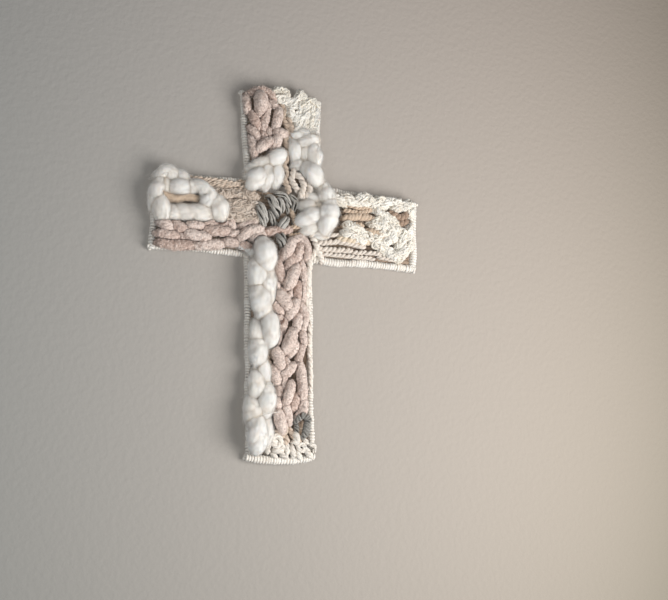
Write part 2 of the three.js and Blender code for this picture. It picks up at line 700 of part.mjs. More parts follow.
// The corners of a flat region moved inwards, each side by its own inset.
function insetCorners(points, insets) {
  const count = points.length;
  const sides = points.map((point, i) => {
    const along = direction(point, points[(i + 1) % count]);
    const inward = new THREE.Vector2(-along.y, along.x);
    return { start: point.clone().addScaledVector(inward, insets[i]), along };
  });
  return sides.map((side, i) => {
    const before = sides[(i + count - 1) % count];
    const between = side.start.clone().sub(before.start);
    const turn = before.along.cross(side.along);
    if (Math.abs(turn) < Number.EPSILON) {
      return side.start;
    }
    return before.start.clone().addScaledVector(before.along, between.cross(side.along) / turn);
  });
}

// One string to and fro between two sides of a region, as many times as its pitch fits.
function stringRoute(sideA, sideB) {
  const length = sideA[0].distanceTo(sideA[1]);
  const runs = Math.max(2, Math.floor(length / stringPitch));
  const points = [];
  for (let i = 0; i < runs; i++) {
    const share = (i + 1 / 2) / runs;
    const onA = sideA[0].clone().lerp(sideA[1], share);
    const onB = sideB[0].clone().lerp(sideB[1], share);
    const across = direction(onA, onB);
    const margin = stringDiameter + clearance * 2;
    const nearA = onA.addScaledVector(across, margin);
    const nearB = onB.addScaledVector(across, -margin);
    points.push(...(i % 2 === 0 ? [nearA, nearB] : [nearB, nearA]));
  }
  return points;
}

// The string's groove in the back of a weave, open to the back.
function grooveSection() {
  const half = stringDiameter / 2 + clearance;
  return [[-half, stringDepth + half], [half, stringDepth + half], [half, -overrun], [-half, -overrun]];
}

const part = new THREE.Group();
part.name = 'woven_wool_cross';

function addMesh(group, name, geometry, colour, finish) {
  const material = new THREE.MeshStandardMaterial({ color: colour, flatShading: true, ...finish });
  const mesh = new THREE.Mesh(geometry, material);
  mesh.name = name;
  group.add(mesh);
}

function buildFrame() {
  const group = new THREE.Group();
  const wire = pathSurface(outline, roundSection(wireDiameter / 2, wireSides, wrapRadius), true);
  addMesh(group, 'frame_wire', wire, wireColour, steelFinish);
  const braces = [
    ['brace_wire_upper', corners.upperLeft, corners.upperRight],
    ['brace_wire_lower', corners.lowerLeft, corners.lowerRight],
  ];
  for (const [name, left, right] of braces) {
    const along = direction(left, right);
    const start = left.clone().addScaledVector(along, wrapRadius + clearance);
    const end = right.clone().addScaledVector(along, -wrapRadius - clearance);
    const section = roundSection(braceDiameter / 2, wireSides, wrapRadius);
    addMesh(group, name, pathSurface([start, end], section, false), wireColour, steelFinish);
  }
  part.add(group);
}

function buildEdgeWinding() {
  const group = new THREE.Group();
  const names = [
    'top_end', 'top_right', 'right_upper', 'right_end', 'right_lower', 'foot_right',
    'foot_end', 'foot_left', 'left_lower', 'left_end', 'left_upper', 'top_left',
  ];
  names.forEach((name, index) => {
    addMesh(group, `edge_wrap_${name}`, sleeveSurface(index), edgeColour, woolFinish);
  });
  part.add(group);
}

function buildWeave() {
  const group = new THREE.Group();
  const edge = wrapRadius + clearance;
  const brace = braceDiameter / 2 + clearance;
  const regions = [
    {
      name: 'top',
      around: ['upperLeft', 'upperRight', 'topRight', 'topLeft'],
      insets: [brace, edge, edge, edge],
      sides: ([lowLeft, lowRight, highRight, highLeft]) => [[lowLeft, highLeft], [lowRight, highRight]],
    },
    {
      name: 'crossbar',
      around: [
        'leftBottom', 'lowerLeft', 'lowerRight', 'rightBottom',
        'rightTop', 'upperRight', 'upperLeft', 'leftTop',
      ],
      insets: [edge, edge, edge, edge, edge, edge, edge, edge],
      sides: ([lowLeft, , , lowRight, highRight, , , highLeft]) => [
        [lowLeft, lowRight],
        [highLeft, highRight],
      ],
    },
    {
      name: 'foot',
      around: ['footLeft', 'footRight', 'lowerRight', 'lowerLeft'],
      insets: [edge, edge, brace, edge],
      sides: ([lowLeft, lowRight, highRight, highLeft]) => [[lowLeft, highLeft], [lowRight, highRight]],
    },
  ];
  for (const { name, around, insets, sides } of regions) {
    const inset = insetCorners(around.map((corner) => corners[corner]), insets);
    const route = stringRoute(...sides(inset));
    const groove = solidOf(pathSurface(route, grooveSection(), false));
    const plate = plateSolid(inset).subtract(groove);
    addMesh(group, `ground_weave_${name}`, geometryOf(plate), weaveColour, woolFinish);
    const section = roundSection(stringDiameter / 2, stringSides, stringDepth);
    const string = pathSurface(route, section, false);
    addMesh(group, `warp_string_${name}`, string, stringColour, woolFinish);
  }
  part.add(group);
}

function buildFrontYarns() {
  const group = new THREE.Group();
  const placed = [];
  for (const [name, limb, kind, rows] of frontYarns) {
    let solid = yarnSolid(limb, kind, rows, 0);
    const box = boxOf(geometryOf(solid));
    for (const earlier of placed) {
      if (earlier.box.intersectsBox(box)) {
        solid = solid.subtract(earlier.room);
      }
    }
    addMesh(group, name, largestPiece(geometryOf(solid)), yarnKinds[kind].colour, woolFinish);
    const room = yarnSolid(limb, kind, rows, clearance);
    placed.push({ room, box: boxOf(geometryOf(room)) });
  }
  part.add(group);
}

buildFrame();
buildEdgeWinding();
buildWeave();
buildFrontYarns();

export default part;
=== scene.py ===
import functools
import itertools
import math

import bpy
import numpy as np
from mathutils import Matrix, Vector


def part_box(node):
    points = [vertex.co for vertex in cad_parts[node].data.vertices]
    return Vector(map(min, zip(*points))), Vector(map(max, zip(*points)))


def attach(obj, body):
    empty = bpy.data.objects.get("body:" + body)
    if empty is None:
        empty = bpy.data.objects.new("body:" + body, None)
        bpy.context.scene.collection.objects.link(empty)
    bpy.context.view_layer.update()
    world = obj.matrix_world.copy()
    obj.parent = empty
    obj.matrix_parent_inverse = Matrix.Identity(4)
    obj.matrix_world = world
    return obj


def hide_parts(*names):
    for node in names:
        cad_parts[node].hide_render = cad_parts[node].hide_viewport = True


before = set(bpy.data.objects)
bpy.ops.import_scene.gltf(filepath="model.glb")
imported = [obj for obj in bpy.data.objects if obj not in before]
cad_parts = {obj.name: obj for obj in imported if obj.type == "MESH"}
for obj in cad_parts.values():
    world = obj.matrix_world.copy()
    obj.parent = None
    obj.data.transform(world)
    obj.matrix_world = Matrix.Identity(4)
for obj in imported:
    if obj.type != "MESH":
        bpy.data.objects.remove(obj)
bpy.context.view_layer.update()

# Lengths are in metres. "Proud" is a distance from the wall towards the viewer, along -Y. A pair
# such as ply_fuzz or turn_slip says how much something varies, and over what length.
mm = 0.001
clearance = 0.3 * mm

# Sizes of the edge winding and of the weave, read from the solids.
wrap_low, wrap_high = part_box("edge_wrap_foot_end")
weave_low, weave_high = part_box("ground_weave_foot")
wrap_radius = (wrap_high[1] - wrap_low[1]) / 2
weave_front = -weave_low[1]
weave_back = -weave_high[1]
seat = 2 * wrap_radius + clearance

# The camera that took the photograph, worked out from the corners of the cross. Its lens and
# sensor are in millimetres.
camera_place = (-324 * mm, -943.4 * mm, -369.8 * mm)
camera_turn = math.radians(-22)
camera_rise = math.radians(9.3)
camera_roll = math.radians(0.2)
camera_lens = 53.9
sensor_width = 36

# The front yarns, in the order in which they keep their room, each with its limb and its kind. Each
# row is one visible strand: its thickness as a share of its yarn's, then the points of its route as
# shares of the limb. The last rows of some yarns are runs, mostly thinner, that fill gaps.
front_yarns = [
    ("roving_top_left", "top_limb", "roving", [
        (0.67, (0.05, 0.15), (0.17, 0.20), (0.28, 0.24)),
        (0.82, (0.34, 0.25), (0.41, 0.30)),
        (0.95, (0.05, -0.01), (0.09, 0.05)),
        (0.82, (0.24, 0.12), (0.22, 0.00)),
        (0.72, (0.38, 0.14), (0.37, 0.03)),
    ]),
    ("roving_top_right", "top_limb", "roving", [
        (0.36, (0.94, 1.00), (0.97, 0.81), (0.92, 0.61)),
        (0.67, (0.91, 0.54), (0.80, 0.50), (0.71, 0.43)),
        (0.7, (0.63, 0.44), (0.64, 0.33)),
        (0.55, (0.66, 0.21), (0.76, 0.23)),
        (0.9, (0.90, 0.38), (0.91, 0.28)),
        (1.05, (0.83, 0.14), (0.90, 0.08)),
        (0.6, (0.64, 0.56), (0.78, 0.60), (0.92, 0.56)),
        (0.6, (0.76, 0.44), (0.78, 0.30)),
    ]),
    ("roving_left_lower", "left_arm", "roving", [
        (0.96, (0.05, 0.54), (0.06, 0.44)),
        (0.89, (0.19, 0.46), (0.35, 0.48), (0.53, 0.48)),
        (0.98, (0.65, 0.63), (0.67, 0.50)),
    ]),
    ("roving_left_upper", "left_arm", "roving", [
        (0.72, (-0.02, 0.58), (-0.01, 0.76), (0.03, 0.86)),
        (0.51, (0.11, 0.80), (0.08, 0.90)),
        (0.66, (0.04, 1.01), (0.10, 1.05), (0.17, 0.99)),
        (0.61, (0.24, 1.00), (0.29, 0.94)),
        (0.82, (0.29, 0.83), (0.21, 0.82)),
        (0.82, (0.36, 0.84), (0.46, 0.83), (0.54, 0.73), (0.52, 0.63)),
    ]),
    ("roving_center", "middle", "roving", [
        (0.62, (0.86, 0.83), (1.00, 0.75)),
        (0.95, (0.82, 0.52), (0.97, 0.60)),
        (1.12, (1.15, 0.68), (1.14, 0.46)),
        (0.9, (1.06, 0.92), (1.10, 0.79)),
        (0.55, (1.16, 0.33), (1.04, 0.32)),
        (0.7, (0.80, 0.70), (0.92, 0.68)),
        (0.6, (0.86, 0.36), (1.00, 0.42)),
        (0.7, (1.00, 0.72), (1.04, 0.60)),
    ]),
    ("roving_foot_upper", "foot_limb", "roving", [
        (1.26, (0.20, 1.01), (0.22, 0.97)),
        (0.96, (0.08, 0.93), (0.10, 0.85)),
        (0.89, (0.27, 0.89), (0.29, 0.78)),
        (1.04, (0.11, 0.79), (0.16, 0.72)),
        (0.45, (-0.17, 1.035), (-0.04, 1.02), (0.06, 1.00)),
    ]),
    ("roving_foot_middle", "foot_limb", "roving", [
        (1, (0.28, 0.67), (0.31, 0.58)),
        (0.73, (0.09, 0.63), (0.09, 0.58)),
        (0.96, (0.10, 0.53), (0.11, 0.47)),
        (0.69, (0.20, 0.44), (0.23, 0.39)),
    ]),
    ("roving_foot_lower", "foot_limb", "roving", [
        (0.91, (0.08, 0.37), (0.09, 0.31)),
        (0.93, (0.25, 0.31), (0.23, 0.23)),
        (0.93, (0.01, 0.24), (0.03, 0.18)),
        (1.1, (0.07, 0.15), (0.08, 0.07)),
        (0.61, (0.27, 0.08), (0.27, 0.16)),
    ]),
    ("chenille_top", "top_limb", "chenille", [
        (0.8, (0.06, 0.99), (0.16, 1.03), (0.29, 1.03), (0.37, 0.97)),
        (0.7, (0.34, 0.92), (0.42, 0.85)),
        (0.92, (0.43, 0.81), (0.38, 0.64)),
        (1, (0.40, 0.57), (0.48, 0.56)),
        (1, (0.41, 0.51), (0.35, 0.40)),
        (1, (0.28, 0.45), (0.15, 0.37)),
        (0.6, (0.30, 0.53), (0.29, 0.60)),
        (0.72, (0.24, 0.51), (0.20, 0.54)),
        (0.84, (0.22, 0.62), (0.29, 0.87)),
        (1.32, (0.17, 0.93), (0.17, 0.83)),
        (0.8, (0.00, 0.94), (0.01, 0.80)),
        (0.9, (0.07, 0.74), (0.13, 0.61)),
        (0.84, (0.05, 0.58), (0.13, 0.49)),
        (0.8, (0.05, 0.47), (0.08, 0.30)),
    ]),
    ("chenille_left_row_1", "left_arm", "chenille", [
        (0.96, (0.08, 0.29), (0.14, 0.25)),
        (1, (0.20, 0.28), (0.30, 0.24)),
        (0.8, (0.36, 0.30), (0.47, 0.30)),
        (0.64, (0.53, 0.34), (0.75, 0.39)),
        (0.68, (0.80, 0.40), (0.82, 0.32)),
    ]),
    ("chenille_left_row_2", "left_arm", "chenille", [
        (1, (0.06, 0.15), (0.21, 0.13)),
        (0.68, (0.27, 0.18), (0.29, 0.14)),
        (1, (0.34, 0.17), (0.53, 0.14)),
        (1, (0.54, 0.24), (0.75, 0.26)),
        (0.68, (0.80, 0.23), (0.87, 0.25)),
    ]),
    ("chenille_left_row_3", "left_arm", "chenille", [
        (1, (0.08, 0.02), (0.20, 0.00), (0.37, 0.02)),
        (1.04, (0.44, 0.03), (0.67, 0.07)),
        (0.92, (0.75, 0.11), (0.84, 0.11)),
        (0.8, (0.91, 0.10), (1.00, 0.06)),
    ]),
    ("chenille_center", "middle", "chenille", [
        (0.8, (0.08, 0.43), (-0.11, 0.36)),
        (1, (-0.14, 0.19), (-0.01, 0.29), (0.14, 0.32)),
        (0.8, (0.05, 0.20), (0.19, 0.27)),
        (0.92, (0.25, 0.30), (0.57, 0.35)),
    ]),
    ("chenille_foot_left", "foot_limb", "chenille", [
        (0.9, (0.59, 1.03), (0.52, 1.00)),
        (0.95, (0.44, 0.95), (0.50, 0.88)),
        (0.6, (0.50, 0.99), (0.56, 0.98)),
        (0.7, (0.42, 0.85), (0.43, 0.82)),
        (0.7, (0.51, 0.82), (0.54, 0.80)),
        (1.1, (0.45, 0.79), (0.58, 0.74)),
        (0.95, (0.39, 0.75), (0.49, 0.71)),
        (0.9, (0.44, 0.68), (0.50, 0.66)),
        (0.95, (0.42, 0.62), (0.42, 0.56)),
        (1.08, (0.41, 0.51), (0.46, 0.44)),
        (1, (0.37, 0.42), (0.42, 0.37)),
        (0.72, (0.46, 0.34), (0.46, 0.30)),
        (0.85, (0.41, 0.27), (0.42, 0.24)),
        (1.1, (0.43, 0.20), (0.48, 0.14)),
    ]),
    ("chenille_foot_right", "foot_limb", "chenille", [
        (1, (0.70, 0.99), (0.61, 0.94)),
        (1.12, (0.71, 0.93), (0.61, 0.85)),
        (0.85, (0.77, 0.85), (0.77, 0.79)),
        (0.7, (0.64, 0.82), (0.62, 0.79)),
        (1, (0.72, 0.76), (0.62, 0.70)),
        (0.95, (0.77, 0.69), (0.75, 0.64)),
        (1.15, (0.65, 0.60), (0.55, 0.53)),
        (0.85, (0.72, 0.55), (0.66, 0.51)),
        (0.96, (0.52, 0.40), (0.66, 0.44)),
        (0.85, (0.57, 0.46), (0.59, 0.44)),
        (0.95, (0.63, 0.35), (0.55, 0.27)),
        (0.9, (0.71, 0.29), (0.67, 0.24)),
        (0.92, (0.56, 0.24), (0.60, 0.17)),
        (1, (0.66, 1.065), (0.575, 1.01)),
        (0.85, (0.71, 1.08), (0.82, 1.09), (0.92, 1.06), (0.93, 1.00)),
        (0.85, (0.82, 1.06), (0.77, 0.99)),
        (0.8, (0.54, 0.67), (0.51, 0.62)),
        (0.75, (0.53, 0.38), (0.53, 0.34)),
    ]),
    ("chenille_foot_edge", "foot_limb", "chenille", [
        (0.8, (0.82, 0.75), (0.87, 0.69), (0.85, 0.64)),
        (0.72, (0.85, 0.61), (0.87, 0.56)),
        (0.76, (0.83, 0.54), (0.77, 0.47)),
        (1, (0.78, 0.44), (0.81, 0.37), (0.82, 0.30)),
        (0.92, (0.85, 0.27), (0.82, 0.22), (0.74, 0.19)),
        (0.7, (0.84, 0.97), (0.88, 0.88)),
        (0.7, (0.87, 0.86), (0.85, 0.78)),
    ]),
    ("gray_rope_center", "middle", "rope", [
        (0.92, (0.14, 0.633), (0.20, 0.433)),
        (0.85, (0.297, 0.753), (0.394, 0.584)),
        (0.68, (0.43, 0.743), (0.463, 0.635)),
        (0.5, (0.403, 0.85), (0.506, 0.826), (0.584, 0.707)),
        (0.55, (0.607, 0.823), (0.674, 0.746), (0.644, 0.638)),
        (0.88, (0.524, 0.461), (0.479, 0.392)),
        (0.62, (0.313, 0.577), (0.357, 0.446)),
        (0.42, (0.541, 0.707), (0.571, 0.615)),
        (0.45, (0.40, 0.43), (0.42, 0.37)),
    ]),
    ("gray_rope_knot", "middle", "rope", [
        (0.9, (0.45, 0.245), (0.49, 0.17)),
    ]),
    ("gray_rope_foot", "foot_limb", "rope", [
        (0.6, (0.71, 0.175), (0.79, 0.20), (0.90, 0.185)),
        (0.5, (0.72, 0.15), (0.72, 0.125)),
        (0.72, (0.88, 0.165), (0.86, 0.14), (0.835, 0.105)),
    ]),
    ("cream_loops_foot", "foot_limb", "loop", [
        (1.3, (0.28, 0.06), (0.28, 0.03)),
        (1.1, (0.35, 0.06), (0.41, 0.05), (0.47, 0.07), (0.46, 0.09), (0.40, 0.10), (0.34, 0.08),
         (0.40, 0.07)),
        (1.4, (0.41, 0.03), (0.48, 0.03)),
        (1.2, (0.58, 0.05), (0.58, 0.02)),
        (1.6, (0.71, 0.10), (0.72, 0.09)),
        (1, (0.75, 0.05), (0.78, 0.03), (0.83, 0.03), (0.86, 0.05), (0.82, 0.06), (0.77, 0.06)),
        (1.2, (0.70, 0.07), (0.75, 0.07)),
        (1.1, (0.50, 0.07), (0.52, 0.05)),
        (1.3, (0.66, 0.04), (0.68, 0.01)),
        (1.1, (0.50, 0.01), (0.56, 0.00)),
        (1.2, (0.75, 0.02), (0.78, 0.00)),
        (1.4, (0.89, 0.03), (0.94, 0.01)),
        (0.9, (0.96, 0.06), (1.03, 0.05), (1.02, 0.03)),
        (1, (0.36, 0.01), (0.40, 0.00)),
        (1, (0.84, 0.09), (0.90, 0.07)),
        (0.2, (0.10, 0.19), (0.24, 0.205), (0.39, 0.212)),
        (0.16, (0.20, 0.345), (0.31, 0.342)),
    ]),
    ("boucle_top", "top_limb", "boucle", [
        (0.77, (0.38, 1.05), (0.47, 1.08), (0.56, 1.05), (0.50, 0.98), (0.43, 0.97)),
        (0.82, (0.51, 0.95), (0.63, 0.96), (0.72, 1.02), (0.74, 1.07)),
        (0.82, (0.76, 1.06), (0.80, 0.99), (0.71, 0.92), (0.60, 0.92)),
        (0.88, (0.59, 0.84), (0.69, 0.77), (0.81, 0.82), (0.78, 0.90)),
        (0.82, (0.81, 0.88), (0.85, 0.98), (0.91, 1.00), (0.96, 0.95)),
        (0.77, (0.82, 0.77), (0.79, 0.67), (0.85, 0.62)),
        (0.8, (0.88, 0.94), (0.90, 0.82), (0.87, 0.66)),
        (0.8, (0.62, 0.78), (0.70, 0.70), (0.66, 0.62)),
        (0.8, (0.74, 0.90), (0.70, 0.78), (0.80, 0.68)),
        (0.8, (0.60, 0.88), (0.66, 0.97)),
        (0.7, (0.93, 0.66), (0.92, 0.52)),
        (0.7, (0.95, 0.92), (0.96, 0.72)),
    ]),
    ("boucle_right_top", "right_arm", "boucle", [
        (1, (0.06, 0.90), (0.14, 0.87), (0.22, 0.85)),
        (1.1, (0.27, 0.90), (0.35, 0.86), (0.43, 0.95)),
        (1.15, (0.47, 0.96), (0.54, 0.88), (0.62, 0.95)),
        (1.1, (0.65, 0.90), (0.72, 0.97), (0.81, 0.96)),
        (1.0, (0.85, 0.98), (0.90, 0.92), (0.80, 0.88)),
        (1, (0.10, 0.86), (0.24, 0.82)),
        (1, (0.34, 0.86), (0.52, 0.88), (0.66, 0.88)),
        (1, (0.93, 0.98), (0.95, 0.84)),
    ]),
    ("boucle_right_lower", "right_arm", "boucle", [
        (1.18, (0.60, 0.79), (0.68, 0.73)),
        (1.29, (0.69, 0.66), (0.64, 0.55), (0.57, 0.58)),
        (1.29, (0.73, 0.56), (0.76, 0.44), (0.70, 0.32)),
        (1.29, (0.59, 0.30), (0.69, 0.21)),
        (1.35, (0.72, 0.19), (0.81, 0.14), (0.89, 0.28)),
        (1.35, (0.84, 0.33), (0.88, 0.46), (0.80, 0.53)),
        (1.2, (0.33, 0.50), (0.44, 0.44), (0.55, 0.36)),
        (1.2, (0.32, 0.38), (0.46, 0.32)),
        (1.1, (0.60, 0.63), (0.72, 0.70), (0.80, 0.64)),
        (1.2, (0.60, 0.38), (0.70, 0.46), (0.78, 0.40)),
        (1.2, (0.86, 0.14), (0.94, 0.32)),
        (1, (0.93, 0.42), (0.94, 0.58)),
    ]),
    ("nubby_yarn_left", "left_arm", "nubby", [
        (0.92, (0.64, 0.79), (0.85, 0.78), (1.05, 0.78)),
        (0.96, (1.05, 0.66), (0.80, 0.66)),
        (0.92, (0.82, 0.54), (1.02, 0.55)),
        (0.9, (0.72, 0.60), (1.00, 0.60)),
        (0.9, (0.74, 0.48), (1.06, 0.46)),
    ]),
    ("brown_yarn_right", "right_arm", "brown", [
        (0.89, (0.91, 0.92), (0.79, 0.87)),
        (1.06, (0.76, 0.78), (0.84, 0.74), (0.92, 0.83)),
        (1, (0.89, 0.69), (0.80, 0.62)),
    ]),
    ("tan_yarn_right", "right_arm", "tan", [
        (0.72, (0.63, 0.85), (0.43, 0.79), (0.25, 0.82)),
        (0.83, (0.29, 0.72), (0.43, 0.72), (0.53, 0.79)),
        (1.17, (0.55, 0.66), (0.43, 0.66), (0.29, 0.61)),
        (1.11, (0.30, 0.50), (0.44, 0.53)),
        (1.39, (0.53, 0.45), (0.67, 0.42)),
    ]),
    ("tan_yarn_left", "left_arm", "soft", [
        (0.94, (0.08, 0.71), (0.19, 0.65), (0.31, 0.70), (0.43, 0.68)),
    ]),
    ("tan_yarn_center", "middle", "tan", [
        (0.61, (0.63, 0.29), (0.94, 0.33)),
        (0.8, (0.62, 0.62), (0.70, 0.46)),
        (0.7, (0.66, 0.40), (0.84, 0.42)),
    ]),
    ("taupe_twist_top", "top_limb", "taupe", [
        (0.75, (0.47, 0.96), (0.50, 0.88)),
        (0.75, (0.52, 0.85), (0.49, 0.76)),
        (0.75, (0.50, 0.75), (0.55, 0.65)),
        (0.85, (0.57, 0.74), (0.62, 0.62)),
        (0.9, (0.63, 0.63), (0.61, 0.51)),
        (0.8, (0.55, 0.61), (0.52, 0.49)),
        (0.8, (0.53, 0.47), (0.55, 0.35)),
        (0.75, (0.55, 0.33), (0.51, 0.24)),
        (0.75, (0.49, 0.22), (0.53, 0.13)),
        (0.75, (0.53, 0.12), (0.49, 0.03)),
        (0.8, (0.50, 0.02), (0.55, -0.08)),
    ]),
    ("taupe_twist_left", "left_arm", "taupe", [
        (0.5, (0.35, 0.99), (0.62, 0.98), (0.90, 0.95)),
        (0.5, (1.01, 0.91), (0.70, 0.93), (0.41, 0.94)),
        (0.55, (0.61, 0.87), (0.84, 0.86), (1.05, 0.88)),
        (0.55, (0.44, 0.90), (0.62, 0.90), (0.80, 0.91)),
        (0.5, (0.90, 0.99), (1.02, 0.96)),
    ]),
    ("taupe_twist_foot", "foot_limb", "taupe", [
        (0.55, (0.33, 0.53), (0.36, 0.49)),
        (0.55, (0.26, 0.51), (0.34, 0.44)),
        (0.55, (0.32, 0.41), (0.26, 0.46)),
        (0.55, (0.37, 0.62), (0.36, 0.54)),
        (0.55, (0.27, 0.57), (0.33, 0.51)),
        (0.55, (0.34, 0.38), (0.30, 0.33)),
    ]),
    ("taupe_twist_foot_end", "foot_limb", "taupe", [
        (0.75, (0.52, 0.11), (0.60, 0.14)),
        (0.75, (0.63, 0.13), (0.70, 0.09)),
        (0.75, (0.58, 0.07), (0.57, 0.09)),
        (0.75, (0.70, 0.12), (0.78, 0.08)),
        (0.75, (0.42, 0.12), (0.52, 0.10)),
    ]),
    ("cream_twist_center", "middle", "twist", [
        (1, (0.60, 1.18), (0.58, 1.04), (0.66, 0.93)),
        (1.07, (0.73, 0.85), (0.74, 1.01), (0.65, 1.12)),
        (1, (0.81, 1.06), (0.85, 0.93), (0.79, 0.82)),
        (0.93, (0.90, 0.99), (1.01, 0.96), (1.09, 1.00)),
    ]),
    ("cream_yarn_right", "right_arm", "cream", [
        (0.83, (0.45, 0.41), (0.35, 0.42)),
        (1.11, (0.27, 0.30), (0.39, 0.30), (0.53, 0.31)),
    ]),
    ("twisted_rows_right", "right_arm", "twist", [
        (0.93, (0.48, 0.23), (0.26, 0.26), (0.06, 0.21)),
        (0.93, (0.06, 0.13), (0.22, 0.14), (0.36, 0.15)),
        (0.8, (0.41, 0.13), (0.54, 0.15), (0.66, 0.15)),
        (0.73, (0.59, 0.07), (0.32, 0.07), (0.08, 0.07)),
        (0.7, (0.66, 0.10), (0.80, 0.08)),
        (0.7, (0.08, 0.33), (0.26, 0.36)),
    ]),
    ("cream_cord_corner", "right_arm", "twist", [
        (1, (0.10, 0.32), (-0.02, 0.31)),
        (1, (0.00, 0.25), (0.04, 0.16), (0.02, 0.05)),
        (1, (0.06, 0.09), (0.10, -0.02)),
    ]),
    ("cream_cord_foot", "foot_limb", "twist", [
        (1, (0.99, 1.00), (0.95, 0.91), (0.93, 0.81)),
        (0.73, (0.93, 0.80), (0.90, 0.72)),
        (0.73, (0.95, 0.69), (0.95, 0.78)),
        (0.8, (0.96, 0.93), (0.97, 0.82)),
        (0.73, (0.97, 0.66), (0.96, 0.50)),
        (0.73, (0.97, 0.49), (0.97, 0.33)),
    ]),
]

# Each kind of yarn: its material, its thickness, how flat it lies, how much it swells between its
# ends, and how softly and how closely it presses on its neighbours. Plies have their own slack.
kinds = {
    "roving": dict(slot="roving", thickness=17 * mm, depth=0.86, swell=0.3, soft=1.2 * mm, slack=-1.5 * mm),
    "chenille": dict(slot="chenille", thickness=10 * mm, depth=1, swell=0.26, soft=0.3 * mm, slack=0.3 * mm),
    "rope": dict(slot="gray_rope", thickness=10.6 * mm, depth=1, swell=0.3, soft=0.3 * mm),
    "taupe": dict(slot="taupe_twist", thickness=8 * mm, depth=1, swell=0.1, soft=0.3 * mm),
    "tan": dict(slot="tan_yarn", thickness=7 * mm, depth=0.9, swell=0.1, soft=0.3 * mm),
    "brown": dict(slot="brown_yarn", thickness=8 * mm, depth=0.9, swell=0.1, soft=0.3 * mm),
    "nubby": dict(slot="nubby_yarn", thickness=9.4 * mm, depth=0.8, swell=0.1, soft=0.8 * mm,
                  slack=-1.2 * mm),
    "soft": dict(slot="tan_yarn", thickness=8.4 * mm, depth=0.9, swell=0.1, soft=0.5 * mm, slack=0),
    "boucle": dict(slot="boucle", thickness=6.8 * mm, depth=1, swell=0, soft=0.3 * mm, slack=0),
    "twist": dict(slot="cream_twist", thickness=6.8 * mm, depth=1, swell=0, soft=0.3 * mm),
    "cream": dict(slot="cream_yarn", thickness=7.6 * mm, depth=0.9, swell=0.1, soft=0.3 * mm),
    "loop": dict(slot="loop_cord", thickness=4.7 * mm, depth=1, swell=0, soft=0.3 * mm),
}

# Pile: the size and height of its tufts, how far its thickness wanders, and how fine its mesh is.
piles = {
    "chenille": dict(tuft=1.8 * mm, height=1.45 * mm, wander=0.5 * mm, step=0.7 * mm, sides=32),
    "nubby": dict(tuft=2.6 * mm, height=2 * mm, wander=1.2 * mm, step=0.7 * mm, sides=32),
    "soft": dict(tuft=2.4 * mm, height=0.9 * mm, wander=0.9 * mm, step=0.8 * mm, sides=28),
    "boucle": dict(tuft=2.2 * mm, height=2.2 * mm, wander=0.9 * mm, step=0.7 * mm, sides=32),
}

# Pressed pile stands less high: how far it spreads, the least that is left, and its mean height.
pile_spread = 1.2
pile_least = 0.4
pile_mean = 0.45
# Finer tufts lie on the others, and the thickness wanders over this many tufts.
fine_tufts = 0.5
wander_tufts = 3

# Plies of a kind, or of one node: how many, the ply's and the helix's radius as shares of the
# strand's, the length in which they turn once, and the sides of each.
usual_plies = dict(count=2, ply_share=0.56, helix_share=0.44, lay=10 * mm, sides=12)
plies = {
    "rope": dict(count=8, ply_share=0.27, helix_share=0.72, lay=70 * mm, sides=10),
    "gray_rope_foot": dict(count=2, ply_share=0.36, helix_share=0.66, lay=5.6 * mm, sides=10),
    "tan": dict(count=2, ply_share=0.6, helix_share=0.42, lay=8 * mm, sides=12),
    "loop": dict(count=3, ply_share=0.6, helix_share=0.44, lay=16 * mm, sides=12),
}
ply_step = 0.8 * mm
ply_fuzz = (0.2 * mm, 1.1 * mm)
# How unevenly the plies turn, in turns, and how dark the painted shade on their inner sides is.
ply_wobble = (0.12, 9 * mm)
usual_inner_shade = 0.8
inner_shade = {"rope": 1.6, "loop": 2}
# Some plied yarns are darker all over: how dark at least.
darker = {
    "cream_twist_center": 0.25,
    "gray_rope_foot": 0.5,
    "gray_rope_knot": 0.35,
    "taupe_twist_top": 0.3,
    "twisted_rows_right": 0.25,
}

# Roving: its mesh, how it swells in lumps, how softly its strands meet, its streaks and ripples.
roving_step = 1.1 * mm
roving_sides = 48
roving_swell = (0.08, 13 * mm)
roving_blend = 1.5 * mm
roving_streak_length = 22 * mm
roving_streak_width = 1.9 * mm
roving_streak_depth = 0.22 * mm
roving_streak_turn = 30 * mm
roving_ripple = (0.4 * mm, 9 * mm)
# How much of the press shows as a crease of painted shade, and the most that two strands blend.
roving_press_share = 0.5
roving_blend_limit = 0.5
# Long runs of roving are lightly twisted: how long they are at least, the lay, how far the folds
# wander, how sharp and deep they are, and how dark their painted shade is.
twisted_from = 34 * mm
twist_lay = 15 * mm
twist_wander = 2
twist_sharpness = 4
twist_depth = 1.1 * mm
twist_shade = 0.25
# Nothing stands farther proud than this.
front_limit = 32 * mm

# Looped yarns: how many cords curl over the core, how thick they are, how they loop, how far round
# the core they sway, and the core's own radius.
curls = {
    "nubby": dict(cords=2, radius=0.75 * mm, pitch=4 * mm, loop=2.2 * mm, sway=1.7, core=4.4 * mm),
    "boucle": dict(cords=3, radius=1.1 * mm, pitch=3.6 * mm, loop=2.5 * mm, sway=1.7, core=4.4 * mm),
}
# How the loops vary: in clumps, in their turns, reach, height and thickness, and how they sway.
curl_clump = (0.4, 7 * mm)
curl_turning = (0.9, 4 * mm)
curl_reach = (0.4, 3 * mm)
curl_height = (0.8 * mm, 2.6 * mm)
curl_swell = (0.35, 3 * mm)
curl_sway_length = 5 * mm
# Their steps, sides and roughness, how much painted shade they take where they lie low and how it mottles in
# clumps, and where their sections face.
curl_step = 0.8 * mm
curl_core_step = 0.1 * mm
curl_sides = 8
curl_fuzz = (0.18 * mm, 0.9 * mm)
curl_shade = 0.7
curl_shade_mottle = 0.5
curl_tuft = 0.6
curl_toward = np.array([0.3, 1.0, 0.2])

